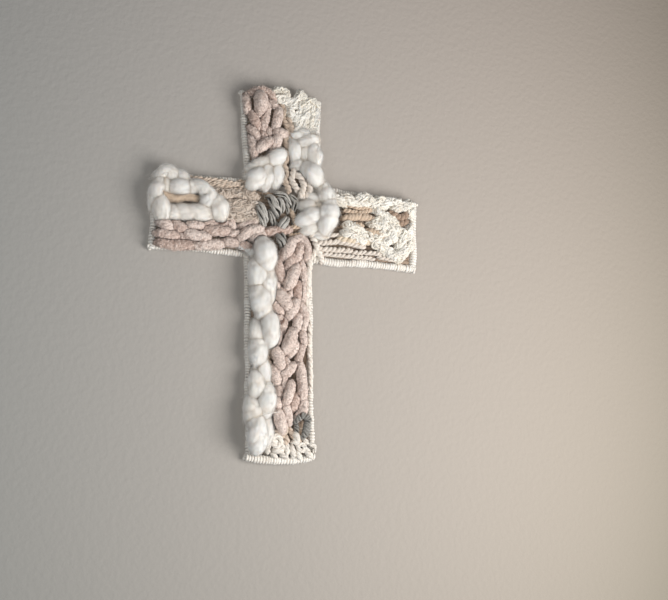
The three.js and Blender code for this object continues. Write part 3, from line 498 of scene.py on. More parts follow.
# Loose fibres of each kind: how many to a square metre, their length, how high they stand, how
# high the wildest fly, how far they turn from the lay, and how many points each has.
fibre_forms = {
    "roving": dict(density=0.5e6, length=11 * mm, lift=1.8 * mm, fly=3.4 * mm, turn=0.4, points=7),
    "chenille": dict(density=0.9e6, length=0.8 * mm, lift=0.8 * mm, fly=0.9 * mm, turn=3, points=3),
    "nubby": dict(density=0.3e6, length=3 * mm, lift=1.0 * mm, fly=1.5 * mm, turn=1.2, points=5),
    "soft": dict(density=0.7e6, length=3 * mm, lift=0.8 * mm, fly=1.3 * mm, turn=1, points=4),
    "boucle": dict(density=0.14e6, length=3.4 * mm, lift=0.9 * mm, fly=2 * mm, turn=1, points=5),
    "plied": dict(density=0.25e6, length=2.6 * mm, lift=0.5 * mm, fly=1.3 * mm, turn=0.7, points=4),
}
fibre_radius = 0.06 * mm
# How close to a skin's last ring a fibre may come, in rings.
row_edge = 0.001
# The share of a strand's girth at its back that has no fibres, on either side.
fibre_back_share = 0.12
# How far a fibre curls, as a share of its length, how its height grows, and how it thins out.
fibre_curl = 0.12
fibre_rise_power = 1.4
fibre_thinning = 0.8
# How rare the wildest fibres are, and what the materials read on every fibre, with a share of the painted
# shade of the wool below.
fibre_fly_power = 4
fibre_tuft = 0.7
fibre_shade_share = 0.6
# A direction that hardly any fibre follows.
slanting = np.array([0.31, 0.87, 0.38])

# How far a strand reaches past the ends of its route and how long it takes to dive into the
# weave there, as shares of its radius, how thin and how low it ends.
tapers = {"roving": (1.15, 1.8), "chenille": (1.05, 1.5)}
usual_taper = (0.95, 1.25)
tip_radius_share = 0.5
dive_proud = 5.4 * mm
route_step = 0.25 * mm
# A strand longer than this many times its radius swells less. The swell's mean is taken off it.
swells_fully_to = 5
mean_swell = 0.62

# Strands that lie over their neighbours, by their number in the yarn's rows, and how far they are
# lifted. The last two are stray threads that cross the roving.
lifts = {
    "chenille_top": {9: 4 * mm, 2: 1.5 * mm, 5: 3 * mm},
    "chenille_left_row_1": {0: 2 * mm, 2: 2 * mm},
    "chenille_left_row_2": {2: 2 * mm, 4: 2 * mm},
    "chenille_center": {1: 2 * mm, 2: 1 * mm},
    "chenille_foot_left": {5: 4 * mm, 9: 2 * mm, 13: 1.5 * mm},
    "chenille_foot_right": {13: 3 * mm, 1: 3 * mm, 4: 2.5 * mm, 6: 4 * mm, 8: 2 * mm, 10: 3 * mm},
    "chenille_foot_edge": {0: 1 * mm, 3: 2 * mm},
    "gray_rope_center": {0: 2 * mm, 1: 3 * mm, 2: 1.5 * mm, 3: 0.5 * mm, 5: 3 * mm},
    "roving_foot_upper": {0: 4 * mm, 3: 2 * mm},
    "roving_foot_middle": {0: 2 * mm, 3: 1 * mm},
    "roving_foot_lower": {1: 2 * mm, 3: 3 * mm},
    "roving_top_left": {1: 2 * mm, 2: 2 * mm},
    "roving_top_right": {4: 1 * mm, 5: 3 * mm},
    "roving_left_upper": {4: 1 * mm, 5: 2 * mm},
    "roving_center": {1: 1 * mm, 2: 3 * mm, 3: 2 * mm},
    "cream_twist_center": {0: 2 * mm, 1: 3 * mm, 2: 2 * mm, 3: 2 * mm},
    "gray_rope_foot": {0: 6 * mm, 1: 3 * mm, 2: 5 * mm},
    "gray_rope_knot": {0: 3 * mm},
    "cream_loops_foot": {1: 2 * mm, 4: 2 * mm, 5: 1.5 * mm, 6: 1 * mm, 15: 16 * mm, 16: 15 * mm},
}


def wire_corners():
    """The outline's twelve corners on the wire's axis as (x, z), clockwise from the top left."""
    places = np.array([(v.co.x, v.co.z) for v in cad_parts["frame_wire"].data.vertices])
    corners = []
    while len(places):
        near = np.hypot(*(places - places[0]).T) < 2 * wrap_radius
        corners.append((places[near].min(axis=0) + places[near].max(axis=0)) / 2)
        places = places[~near]
    corners = np.array(corners)
    across, up = (corners - corners.mean(axis=0)).T
    corners = corners[np.argsort(-np.arctan2(up, across))]
    first = np.argmax(corners[:, 1] - corners[:, 0])
    return np.roll(corners, -first, axis=0)


corner_names = (
    "top_left top_right upper_right right_top right_bottom lower_right "
    "foot_right foot_left lower_left left_bottom left_top upper_left"
).split()
corners = dict(zip(corner_names, wire_corners()))

# Each limb by its corners: low left, low right, high left, high right.
limbs = {
    "top_limb": ("upper_left", "upper_right", "top_left", "top_right"),
    "foot_limb": ("foot_left", "foot_right", "lower_left", "lower_right"),
    "left_arm": ("left_bottom", "lower_left", "left_top", "upper_left"),
    "right_arm": ("lower_right", "right_bottom", "upper_right", "right_top"),
    "middle": ("lower_left", "lower_right", "upper_left", "upper_right"),
    "crossbar": ("left_bottom", "right_bottom", "left_top", "right_top"),
}


def limb_place(limb, across, up):
    """The (x, z) place at a share of a limb's width and of its height."""
    low_left, low_right, high_left, high_right = (corners[name] for name in limbs[limb])
    low = low_left + (low_right - low_left) * across
    high = high_left + (high_right - high_left) * across
    return low + (high - low) * up


def lattice(cells, seed):
    """A repeatable number from 0 to 1 for each lattice point. The large numbers mix the bits."""
    mixed = cells[..., 0] * 73856093 ^ cells[..., 1] * 19349663 ^ cells[..., 2] * 83492791
    mixed = (mixed ^ seed * 2654435) & 0x7FFFFFFF
    mixed = ((mixed ^ mixed >> 15) * 73244475) & 0x7FFFFFFF
    mixed = ((mixed ^ mixed >> 13) * 19349669) & 0x7FFFFFFF
    return (mixed >> 4) % 65536 / 65535


def noise(points, size, seed):
    """Smooth noise from -1 to 1 with lumps of about that size."""
    scaled = np.asarray(points) / size
    base = np.floor(scaled).astype(np.int64)
    part = scaled - base
    ease = part * part * (3 - 2 * part)
    total = 0
    for corner in itertools.product((0, 1), repeat=3):
        weight = np.prod(np.where(corner, ease, 1 - ease), axis=-1)
        total = total + weight * lattice(base + corner, seed)
    return 2 * total - 1


def line_noise(lengths, size, seed):
    """Smooth noise from -1 to 1 along a line."""
    lead = np.zeros((len(lengths), 3))
    lead[:, 0] = lengths
    return noise(lead, size, seed)


def varied(lengths, variation, seed):
    """Noise along a line, of a pair's amount and length."""
    amount, size = variation
    return amount * line_noise(lengths, size, seed)


def roughened(rings, out, relief, seed):
    """Rings moved in and out by noise of a pair's height and length, and the noise."""
    height, size = relief
    rough = noise(rings, size, seed)
    return rings + out * (rough * height)[..., None], rough


def unit(vectors):
    return vectors / np.maximum(np.linalg.norm(vectors, axis=-1, keepdims=True), 1e-12)


def arc_lengths(points):
    steps = np.linalg.norm(np.diff(points[:, :3], axis=0), axis=1)
    return np.concatenate([[0], np.cumsum(steps)])


def even(points, step):
    """The same line with its points an even step apart. Columns past the third are carried along."""
    lengths = arc_lengths(points)
    count = max(4, round(lengths[-1] / step) + 1)
    wanted = np.linspace(0, lengths[-1], count)
    return np.column_stack([np.interp(wanted, lengths, column) for column in points.T])


def smooth_route(points, step):
    """A centripetal Catmull-Rom curve through flat points, as places about a step apart."""
    points = np.asarray(points, float)
    padded = np.vstack([2 * points[0] - points[1], points, 2 * points[-1] - points[-2]])
    pieces = []
    for a, b, c, d in zip(padded, padded[1:], padded[2:], padded[3:]):
        ab, bc, cd = (np.linalg.norm(q - p) ** 0.5 for p, q in ((a, b), (b, c), (c, d)))
        t = np.linspace(0, bc, max(3, round(bc**2 / step)))[:, None]
        ab_side = b + (b - a) * (t / ab)
        bc_side = b + (c - b) * (t / bc)
        cd_side = c + (d - c) * ((t - bc) / cd)
        early = ab_side + (bc_side - ab_side) * ((t + ab) / (ab + bc))
        late = bc_side + (cd_side - bc_side) * (t / (bc + cd))
        pieces.append((early + (late - early) * (t / bc))[:-1])
    return np.vstack([*pieces, points[-1:]])


class Strand:
    """One visible run of a front yarn: its axis in space and its radius along it."""

    def __init__(self, node, order, number, limb, kind, row):
        size, *shares = row
        form = kinds[kind]
        self.node, self.order, self.number = node, order, number
        self.kind, self.depth = kind, form["depth"]
        self.full = size * form["thickness"] / 2
        self.lift = lifts.get(node, {}).get(number, 0)
        flat = smooth_route([limb_place(limb, *share) for share in shares], route_step)
        start, end = unit(flat[0] - flat[1]), unit(flat[-1] - flat[-2])
        reach_share, turn_share = tapers.get(kind, usual_taper)
        reach = np.arange(route_step, self.full * reach_share, route_step)[:, None]
        flat = np.vstack([(flat[0] + start * reach)[::-1], flat, flat[-1] + end * reach])
        lengths = arc_lengths(flat)
        to_end = np.minimum(lengths, lengths[-1] - lengths)
        rise = np.sqrt(1 - (1 - np.clip(to_end / (turn_share * self.full), 0, 1)) ** 2)
        shortness = min(1, swells_fully_to * self.full / lengths[-1])
        bulge = 1 + form["swell"] * shortness * (np.sin(np.pi * lengths / lengths[-1]) - mean_swell)
        radius = self.full * (tip_radius_share + (1 - tip_radius_share) * rise) * bulge
        top = seat + self.full * self.depth * bulge + self.lift
        proud = dive_proud + (top - dive_proud) * rise
        along = unit(np.gradient(flat, axis=0))
        self.fine = np.column_stack([flat[:, 0], -proud, flat[:, 1], radius, -along[:, 1], along[:, 0]])
        self.stepped(route_step)

    def stepped(self, step):
        """The strand itself, with its axis in even steps of about that length."""
        line = even(self.fine, step)
        self.path, self.radius = line[:, :3], line[:, 3]
        self.side = unit(np.column_stack([line[:, 4], np.zeros(len(line)), line[:, 5]]))
        self.along = unit(np.gradient(self.path, axis=0))
        self.front = np.cross(self.along, self.side)
        self.lengths = arc_lengths(self.path)
        return self


def round_angles(sides):
    """Angles round a section, starting at the back."""
    return np.pi + np.arange(sides) * 2 * np.pi / sides


def rings_round(path, side, front, radius, depth, sides):
    """Rings of points round a path, and the directions in which they face."""
    angles = round_angles(sides)[None, :, None]
    out = np.cos(angles) * front[:, None] * depth + np.sin(angles) * side[:, None]
    radius = np.broadcast_to(radius, len(path))
    return path[:, None] + out * radius[:, None, None], unit(out)


def frame_along(path, toward):
    """Two directions square to a path, the second one mostly along the one given."""
    along = unit(np.gradient(path, axis=0))
    side = unit(np.cross(toward, along))
    return side, np.cross(along, side)


class Wool:
    """Closed tubes gathered into one mesh, with what the materials read at each point."""

    def __init__(self):
        self.tubes = []
        self.skins = []

    def add(self, rings, out, tuft, recess_shade, tint):
        shape = rings.shape[:2]
        values = [np.broadcast_to(value, shape) for value in (tuft, recess_shade, tint)]
        self.tubes.append((rings, np.stack(values, axis=-1)))
        self.skins.append((rings, out, values[1], values[2]))

    def mesh(self, name):
        points, values, loops, totals, lay = [], [], [], [], []
        first = 0
        for rings, value in self.tubes:
            count, sides = rings.shape[:2]
            along = arc_lengths(rings.mean(axis=1))
            girth = np.linalg.norm(np.roll(rings, -1, axis=1) - rings, axis=-1).sum(axis=1).mean()
            around = np.arange(sides + 1) * girth / sides
            rows, columns = quad_corners(*(part.ravel() for part in np.indices((count - 1, sides))))
            points.append(rings.reshape(-1, 3))
            values.append(value.reshape(-1, 3))
            loops.append((first + rows * sides + columns % sides).ravel())
            totals.append(np.full(len(rows), 4))
            lay.append(np.stack([along[rows], around[columns]], axis=-1).reshape(-1, 2))
            for end, (row, inner) in enumerate(((0, 1), (count - 1, count - 2))):
                middle = rings[row].mean(axis=0)
                out = unit(middle - rings[inner].mean(axis=0))
                spread = np.linalg.norm(rings[row] - middle, axis=1).mean()
                points.append((middle + out * spread / 2)[None])
                values.append(value[row].mean(axis=0)[None])
                k = np.arange(sides)
                rim = first + row * sides
                tip = np.full(sides, first + count * sides + end)
                fan = np.stack([tip, rim + k, rim + (k + 1) % sides])
                past = along[row] + (spread if end else -spread)
                left, right = around[:-1], around[1:]
                places = ((past, (left + right) / 2), (along[row], left), (along[row], right))
                fan_lay = np.stack([np.column_stack([np.full(sides, u), v]) for u, v in places])
                turned = [0, 1, 2] if end else [0, 2, 1]
                loops.append(fan[turned].T.ravel())
                totals.append(np.full(sides, 3))
                lay.append(fan_lay[turned].transpose(1, 0, 2).reshape(-1, 2))
            first += count * sides + 2
        return mesh_from(name, points, values, loops, totals, lay)


def quad_corners(i, j):
    """The rows and the columns of the four corners of facets in a grid."""
    return np.stack([i, i, i + 1, i + 1], axis=1), np.stack([j, j + 1, j + 1, j], axis=1)


def grow(skins, form):
    """Loose fibres on each skin: their paths, and the painted shade and the tint of the wool below."""
    for seed, (rings, out, recess_shade, tint) in enumerate(skins):
        dice = np.random.default_rng(seed)
        count, sides = rings.shape[:2]
        axis = rings.mean(axis=1)
        step = arc_lengths(axis)[-1] / (count - 1)
        facet = np.linalg.norm(np.roll(rings, -1, axis=1) - rings, axis=-1).mean()
        number = round(form["density"] * step * (count - 1) * facet * sides)
        if not number:
            continue
        row = dice.random(number) * (count - 1)
        column = sides * (fibre_back_share + dice.random(number) * (1 - 2 * fibre_back_share))
        turn = dice.normal(0, form["turn"], number) + np.pi * (dice.random(number) < 0.5)
        length = form["length"] * (0.5 + dice.random(number))
        part = np.linspace(0, 1, form["points"])
        curl = np.sin(np.pi * (1.5 * part + 2 * dice.random(number)[:, None]))
        curl = length[:, None] * fibre_curl * curl
        rows = row[:, None] + (np.cos(turn) * length)[:, None] * part / step
        columns = column[:, None] + ((np.sin(turn) * length)[:, None] * part + curl) / facet
        wild = form["fly"] * dice.random(number) ** fibre_fly_power
        height = form["lift"] * dice.random(number) + wild
        height = height[:, None] * part**fibre_rise_power + fibre_radius
        kept = np.clip(rows, 0, count - 1 - row_edge)
        forward = unit(np.gradient(axis, axis=0))
        over = forward[np.where(rows < 0, 0, count - 1)] * ((rows - kept) * step)[..., None]
        paths = on_skin(rings, kept, columns) + on_skin(out, kept, columns) * height[..., None] + over
        paths[..., 1] = np.clip(paths[..., 1], -front_limit, -fibre_radius * 2)
        seen = [on_skin(value[..., None], kept[:, :1], columns[:, :1])[:, 0, 0] for value in (recess_shade, tint)]
        yield paths, *seen


def fibre_mesh(name, batches):
    """Each fibre as a closed tube of three sides, all in one mesh."""
    points, values, loops, totals, lay = [], [], [], [], []
    first = 0
    for paths, recess_shade, tint in batches:
        number, count = paths.shape[:2]
        along = unit(np.gradient(paths, axis=1))
        side = unit(np.cross(along, slanting))
        front = np.cross(along, side)
        radius = (fibre_radius * (1 - fibre_thinning * np.linspace(0, 1, count) ** 2))[None, :, None]
        turns = [2 * np.pi * k / 3 for k in range(3)]
        ring = [paths + radius * (np.cos(a) * front + np.sin(a) * side) for a in turns]
        points.append(np.stack(ring, axis=2).reshape(-1, 3))
        marks = np.stack([np.full(number, fibre_tuft), recess_shade * fibre_shade_share, tint], axis=-1)
        values.append(np.repeat(marks, count * 3, axis=0))
        fibre, i, j = (part.ravel() for part in np.indices((number, count - 1, 3)))
        base = (first + fibre * count * 3)[:, None]
        rows, columns = quad_corners(i, j)
        loops.append((base + rows * 3 + columns % 3).ravel())
        totals.append(np.full(len(i), 4))
        ends = first + np.arange(number)[:, None] * count * 3
        last = (count - 1) * 3
        loops.append(np.stack([ends + [0, 2, 1], ends + [last, last + 1, last + 2]], axis=1).ravel())
        totals.append(np.full(2 * number, 3))
        lay.append(np.stack([rows * mm + base * mm, columns * fibre_radius], axis=-1).reshape(-1, 2))
        lay.append(np.zeros((6 * number, 2)))
        first += number * count * 3
    return mesh_from(name, points, values, loops, totals, lay)


def on_skin(rings, row, column):
    """What a grid of rings holds at fractional rows and columns."""
    sides = rings.shape[1]
    i, j = np.floor(row).astype(int), np.floor(column).astype(int)
    a, b = (row - i)[..., None], (column - j)[..., None]
    j, k = j % sides, (j + 1) % sides
    near = rings[i, j] * (1 - a) + rings[i + 1, j] * a
    far = rings[i, k] * (1 - a) + rings[i + 1, k] * a
    return near * (1 - b) + far * b


def mesh_from(name, *parts):
    """A smooth mesh from lists of points, their marks, facet corners, facet sizes and the lay."""
    points, values, loops, totals, lay = (np.concatenate(part) for part in parts)
    mesh = bpy.data.meshes.new(name)
    mesh.vertices.add(len(points))
    mesh.vertices.foreach_set("co", points.astype(np.float32).ravel())
    mesh.loops.add(len(loops))
    mesh.loops.foreach_set("vertex_index", loops.astype(np.int32))
    mesh.polygons.add(len(totals))
    starts = np.concatenate([[0], np.cumsum(totals)[:-1]])
    mesh.polygons.foreach_set("loop_start", starts.astype(np.int32))
    mesh.update(calc_edges=True)
    mesh.shade_smooth()
    # What the materials read at each point: its tuft, its painted shade, and its tint, in which lifted
    # strands get a painted highlight.
    for k, label in enumerate(("tuft", "recess_shade", "tint")):
        layer = mesh.attributes.new(label, "FLOAT", "POINT")
        layer.data.foreach_set("value", values[:, k].astype(np.float32))
    layer = mesh.uv_layers.new(name="lay")
    layer.uv.foreach_set("vector", lay.astype(np.float32).ravel())
    return mesh


def add_object(name, data):
    piece = bpy.data.objects.new(name, data)
    bpy.context.scene.collection.objects.link(piece)
    return piece


def add_piece(name, mesh, slot, *nodes):
    """A visible piece on the one body, in place of the nodes that it replaces."""
    piece = add_object(name, mesh)
    mesh.materials.append(material_of(slot))
    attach(piece, "root")
    if nodes:
        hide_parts(*nodes)


def add_fibres(name, skins, kind, slot):
    form = fibre_forms.get(kind, fibre_forms["plied"])
    add_piece(name, fibre_mesh(name, grow(skins, form)), slot)


def rgb(red, green, blue):
    """A linear colour from the usual 0 to 255 numbers."""
    return (*(((c / 255 + 0.055) / 1.055) ** 2.4 for c in (red, green, blue)), 1)


# Each wool: its colour, the colour that painted shade in its creases and pits leans to (thin streaks and
# darker yarns lean to it too), and the warm colour that some strands lean to.
wools = {
    "roving": ((250, 248, 245), (220, 205, 186), (247, 242, 235)),
    # Chenille's warm colour is much darker: strands that don't lie on top lean to it partly at random and
    # partly as painted shade.
    "chenille": ((242, 226, 216), (96, 66, 52), (186, 156, 141)),
    "gray_rope": ((200, 196, 189), (10, 9, 8), (160, 153, 144)),
    "taupe_twist": ((216, 200, 184), (134, 112, 94), (204, 184, 166)),
    "tan_yarn": ((204, 184, 164), (144, 118, 94), (214, 192, 168)),
    "brown_yarn": ((172, 149, 131), (104, 80, 64), (160, 136, 118)),
    "nubby_yarn": ((214, 201, 188), (158, 136, 118), (192, 174, 158)),
    "boucle": ((240, 236, 229), (204, 190, 169), (235, 227, 213)),
    "cream_twist": ((240, 232, 222), (146, 124, 108), (243, 234, 223)),
    "cream_yarn": ((236, 224, 206), (140, 118, 94), (222, 205, 182)),
    "loop_cord": ((240, 233, 223), (70, 56, 46), (226, 218, 208)),
    "edge_yarn": ((246, 242, 235), (150, 136, 122), (243, 236, 226)),
    "weave_yarn": ((224, 208, 190), (120, 98, 80), (204, 184, 164)),
    "warp_string": ((222, 214, 200), (120, 104, 88), (208, 196, 176)),
}
# How strongly painted shade darkens the pits between tufts, and how strongly a painted highlight brings
# their tips back to the plain colour.
pit_shade = {"chenille": 0.6, "nubby_yarn": 0.55, "boucle": 0.6}
usual_pit_shade = 0.4
tip_highlights = {"chenille": 0.6}
# How much light goes into the wool, and how far.
glow = {"roving": (0.6, 3 * mm), "boucle": (0.3, 1 * mm)}
usual_glow = (0.3, 0.8 * mm)
# How far a strand's warmth, warm patches and the painted shade of its creases count.
tint_share = 0.7
patch_share = 0.35
recess_shade_share = 0.9
patch_scale = (90, 90, 90)
# Where each starts and is full: warmth, patches, painted shade in pits and painted highlight on tips between
# tufts, thin streaks.
tint_range = (0.2, 1)
patch_range = (0.35, 0.7)
pit_range = (0.42, 0.04)
tip_highlight_range = (0.5, 0.9)
thin_range = (0.6, 0.3)
steel_grain = (400, 400, 400)
# The wall's paint with painted light: cooler on the left and warmer on the right as under cool and warm
# lamps, and dimmer away from one bright place as a painted pool of light.
wall_cool_lit = rgb(170, 168, 165)
wall_warm_lit = rgb(217, 202, 192)
wall_painted_dim = rgb(78, 80, 64)
wall_turn = (-290 * mm, 490 * mm)
wall_painted_light_place = (-270 * mm, 0, 970 * mm)
wall_painted_light_spread = (1090 * mm, 1000 * mm, 2790 * mm)
wall_peel_scale = 170
wall_peel = (0.3, 2 * mm)
floor_colour = (0.72, 0.71, 0.69, 1)


def set_inputs(tree, node, inputs):
    """Links each input to a socket, or sets the constant on it."""
    for key, value in inputs.items():
        if isinstance(value, bpy.types.NodeSocket):
            tree.links.new(value, node.inputs[key])
        else:
            node.inputs[key].default_value = value


def add_node(tree, kind, inputs):
    """A shader node of a kind, with its inputs set."""
    node = tree.nodes.new("ShaderNode" + kind)
    set_inputs(tree, node, inputs)
    return node


def plain_shader(name):
    material = bpy.data.materials.new(name)
    material.use_nodes = True
    tree = material.node_tree
    return material, tree, tree.nodes["Principled BSDF"]


def object_place(tree):
    return add_node(tree, "TexCoord", {}).outputs["Object"]


def map_range(tree, value, low, high):
    return add_node(tree, "MapRange", {"Value": value, "From Min": low, "From Max": high}).outputs["Result"]


def mix_colour(tree, share, first, second, share_of=1):
    """Mixes two colours, each a socket or a constant, by a socket times a number."""
    if share_of != 1:
        part = add_node(tree, "Math", {0: share, 1: share_of})
        part.operation = "MULTIPLY"
        share = part.outputs["Value"]
    node = tree.nodes.new("ShaderNodeMix")
    node.data_type = "RGBA"
    set_inputs(tree, node, {"Factor": share, 6: first, 7: second})
    return node.outputs[2]


def attribute(tree, name):
    node = tree.nodes.new("ShaderNodeAttribute")
    node.attribute_name = name
    return node.outputs["Fac"]


def pattern(tree, coordinates, scale, detail=2):
    """Noise on coordinates that are first scaled along and across."""
    scaled = add_node(tree, "Mapping", {"Vector": coordinates, "Scale": scale}).outputs["Vector"]
    return add_node(tree, "TexNoise", {"Vector": scaled, "Scale": 1, "Detail": detail}).outputs["Fac"]


def bumps(tree, height, strength, distance):
    inputs = {"Height": height, "Strength": strength, "Distance": distance}
    return add_node(tree, "Bump", inputs).outputs["Normal"]


# Fibre patterns: how many streaks to a metre along and across the lay, and how strong.
fibre_patterns = {
    "roving": dict(streaks=(60, 2600, 1), contrast=0.12, bump=0.3, height=0.25 * mm),
    "chenille": dict(streaks=(1000, 1000, 1), contrast=0.45, bump=0.9, height=0.7 * mm),
    "nubby_yarn": dict(streaks=(900, 1200, 1), contrast=0.3, bump=0.5, height=0.4 * mm),
    "gray_rope": dict(streaks=(250, 2600, 1), contrast=0.35, bump=0.5, height=0.3 * mm),
}
usual_fibres = dict(streaks=(300, 2400, 1), contrast=0.22, bump=0.4, height=0.25 * mm)


@functools.cache
def material_of(slot):
    return steel() if slot == "steel_wire" else wool_material(slot)


def steel():
    material, tree, shader = plain_shader("steel_wire")
    drawn = pattern(tree, object_place(tree), steel_grain)
    colour = mix_colour(tree, drawn, rgb(150, 152, 154), rgb(104, 106, 108))
    set_inputs(tree, shader, {"Base Color": colour, "Metallic": 1, "Roughness": 0.42})
    return material


def wool_material(slot):
    plain, crease, warm = (rgb(*part) for part in wools[slot])
    fibres = fibre_patterns.get(slot, usual_fibres)
    material, tree, shader = plain_shader(slot)
    lay = tree.nodes.new("ShaderNodeUVMap")
    lay.uv_map = "lay"
    streaks = pattern(tree, lay.outputs["UV"], fibres["streaks"], detail=3)
    tint = map_range(tree, attribute(tree, "tint"), *tint_range)
    colour = mix_colour(tree, tint, plain, warm, tint_share)
    patches = map_range(tree, pattern(tree, object_place(tree), patch_scale), *patch_range)
    colour = mix_colour(tree, patches, colour, warm, patch_share)
    # Painted shade in the pits between tufts and in the low places of fuzz and streaks.
    sunk_shade = map_range(tree, attribute(tree, "tuft"), *pit_range)
    colour = mix_colour(tree, sunk_shade, colour, crease, pit_shade.get(slot, usual_pit_shade))
    # Painted highlight on the tips of the tufts.
    if slot in tip_highlights:
        raised_highlight = map_range(tree, attribute(tree, "tuft"), *tip_highlight_range)
        colour = mix_colour(tree, raised_highlight, colour, plain, tip_highlights[slot])
    thin = map_range(tree, streaks, *thin_range)
    colour = mix_colour(tree, thin, colour, crease, fibres["contrast"])
    # Painted shade: the colour leans to the crease colour as far as the recess mark says.
    colour = mix_colour(tree, attribute(tree, "recess_shade"), colour, crease, recess_shade_share)
    weight, reach = glow.get(slot, usual_glow)
    set_inputs(tree, shader, {
        "Base Color": colour,
        "Roughness": 0.95,
        "Specular IOR Level": 0.2,
        "Sheen Weight": 0.2,
        "Sheen Roughness": 0.5,
        "Subsurface Weight": weight,
        "Subsurface Radius": (1, 0.9, 0.8),
        "Subsurface Scale": reach,
        "Normal": bumps(tree, streaks, fibres["bump"], fibres["height"]),
    })
    return material


# All strands, and the room that each takes up, as points along their axes. Past each point's place
# stand the strand's radius and flatness there, its number, and its yarn's place in the order.
strands = []
for order, (node, limb, kind, rows) in enumerate(front_yarns):
    strands += [Strand(node, order, number, limb, kind, row) for number, row in enumerate(rows)]
room_step = 1.5 * mm
rooms = []
for owner, strand in enumerate(strands):
    strand.stepped(room_step)
    marks = np.broadcast_to([strand.depth, owner, strand.order], (len(strand.path), 3))
    rooms.append(np.column_stack([strand.path, strand.radius, marks]))
rooms = np.concatenate(rooms)
room_places, room_radii, room_depths = rooms[:, :3], rooms[:, 3], rooms[:, 4]
room_owners, room_orders = rooms[:, 5].astype(int), rooms[:, 6]
widest = room_radii.max()

# How warm each strand and each row of the weave looks, at random. Strands that lie on top get a
# painted highlight: they lean less to the warm colour, and their pile takes less painted shade.
lifted_highlight = 0.3
lifted_shade = 0.6
tints_and_highlights = np.random.default_rng(5).random(len(strands))
tints_and_highlights *= [lifted_highlight if strand.lift else 1 for strand in strands]
random_rows = np.random.default_rng(9).random(64)
is_roving = np.array([strand.kind == "roving" for strand in strands])

# How far a strand gives way to one of its own yarn, to one of a yarn that comes before its own in
# the list, and to one that comes after.
give_own = 0.5
give_before = 0.7
give_after = 0.3
press_rounds = 2
least_distance = 0.01 * mm
# Painted shade: a place is in a crease, and painted darker, from how hard it is pressed, or from how near it
# lies to the weave.
full_press = 1.6 * mm
crease_from = 3 * mm
crease_depth = 4 * mm


def near_rooms(flat, owner):
    """Marks the room that the other strands take up near some points."""
    low, high = flat.min(axis=0) - widest, flat.max(axis=0) + widest
    return np.all((room_places > low) & (room_places < high), axis=1) & (room_owners != owner)


def make_room(points, owner, slack, soft, skip=None):
    """Presses points out of the other strands, and says how far each was pressed."""
    shape = points.shape
    flat = points.reshape(-1, 3).copy()
    near = near_rooms(flat, owner)
    if skip is not None:
        near &= ~skip[room_owners]
    pressed = np.zeros(len(flat))
    if near.any():
        orders, own = room_orders[near], strands[owner].order
        gives = np.where(orders < own, give_before, give_after)
        gives = np.where(orders == own, give_own, gives)
        rows = np.arange(len(flat))
        for _ in range(press_rounds):
            offset = flat[:, None] - room_places[near][None]
            scaled = offset.copy()
            scaled[..., 1] /= room_depths[near]
            distance = np.linalg.norm(scaled, axis=-1)
            inside = room_radii[near] + slack - distance
            deepest = np.argmax(inside, axis=1)
            depth_in = soft * np.logaddexp(0, inside[rows, deepest] / soft)
            away = offset[rows, deepest] / np.maximum(distance[rows, deepest], least_distance)[:, None]
            flat += away * (depth_in * gives[deepest])[:, None]
            pressed += depth_in * gives[deepest]
    flat[:, 1] = np.minimum(flat[:, 1], -weave_back - clearance)
    return flat.reshape(shape), pressed.reshape(shape[:2])


def recess_shade_of(rings, pressed):
    """Painted shade, from 0 on top to 1 in a crease, from how hard the place is pressed and how low it lies.
    """
    low = (seat + crease_from + rings[..., 1]) / crease_depth
    return np.clip(np.maximum(pressed / full_press, low), 0, 1)


def blend(rings, out, owner, same):
    """Lifts a skin where it runs into strands of its own kind, so that they meet in a soft fold, and says
    how near they come, which paints shade in that fold.
    """
    flat = rings.reshape(-1, 3)
    near = near_rooms(flat, owner) & same[room_owners]
    closeness = np.zeros(len(flat))
    for other in np.unique(room_owners[near]):
        here = near & (room_owners == other)
        offset = flat[:, None] - room_places[here][None]
        offset[..., 1] /= room_depths[here]
        gap = (np.linalg.norm(offset, axis=-1) - room_radii[here]).min(axis=1)
        closeness += np.exp(-np.maximum(gap, 0) / roving_blend)
    closeness = closeness.reshape(rings.shape[:2])
    lift = -roving_blend * np.log(1 - np.minimum(closeness, roving_blend_limit))
    return rings + out * lift[..., None], np.clip(closeness, 0, 1)


def build_roving(wool, owner):
    strand = strands[owner].stepped(roving_step)
    form = kinds[strand.kind]
    share, lump = roving_swell
    radius = strand.radius * (1 + share * noise(strand.path, lump, owner))
    rings, out = rings_round(strand.path, strand.side, strand.front, radius, strand.depth, roving_sides)
    rings, fold = blend(rings, out, owner, is_roving)
    rings, pressed = make_room(rings, owner, form["slack"], form["soft"], is_roving)
    angles = round_angles(roving_sides)[None] + strand.lengths[:, None] / roving_streak_turn
    streak_places = np.broadcast_arrays(
        strand.lengths[:, None] / roving_streak_length,
        np.cos(angles) * strand.full / roving_streak_width,
        np.sin(angles) * strand.full / roving_streak_width,
    )
    streaks = noise(np.stack(streak_places, axis=-1), 1, owner)
    height, length = roving_ripple
    ripples = noise(rings, length, owner + 3) * height
    folds = np.zeros(rings.shape[:2])
    if strand.lengths[-1] > twisted_from:
        turns = round_angles(roving_sides)[None] + 2 * np.pi * strand.lengths[:, None] / twist_lay
        turns = turns + twist_wander * noise(rings, lump, owner + 7)
        folds = (0.5 + 0.5 * np.cos(turns)) ** twist_sharpness
    rings = rings + out * (streaks * roving_streak_depth + ripples - folds * twist_depth)[..., None]
    rings[..., 1] = np.maximum(rings[..., 1], -front_limit)
    # Painted shade where roving strands meet, in the folds of the twist, and in creases.
    recess_shade = np.maximum(fold**2, twist_shade * folds)
    recess_shade = np.maximum(recess_shade_of(rings, pressed * roving_press_share), recess_shade)
    wool.add(rings, out, 0.5 + streaks / 3, recess_shade, tints_and_highlights[owner])


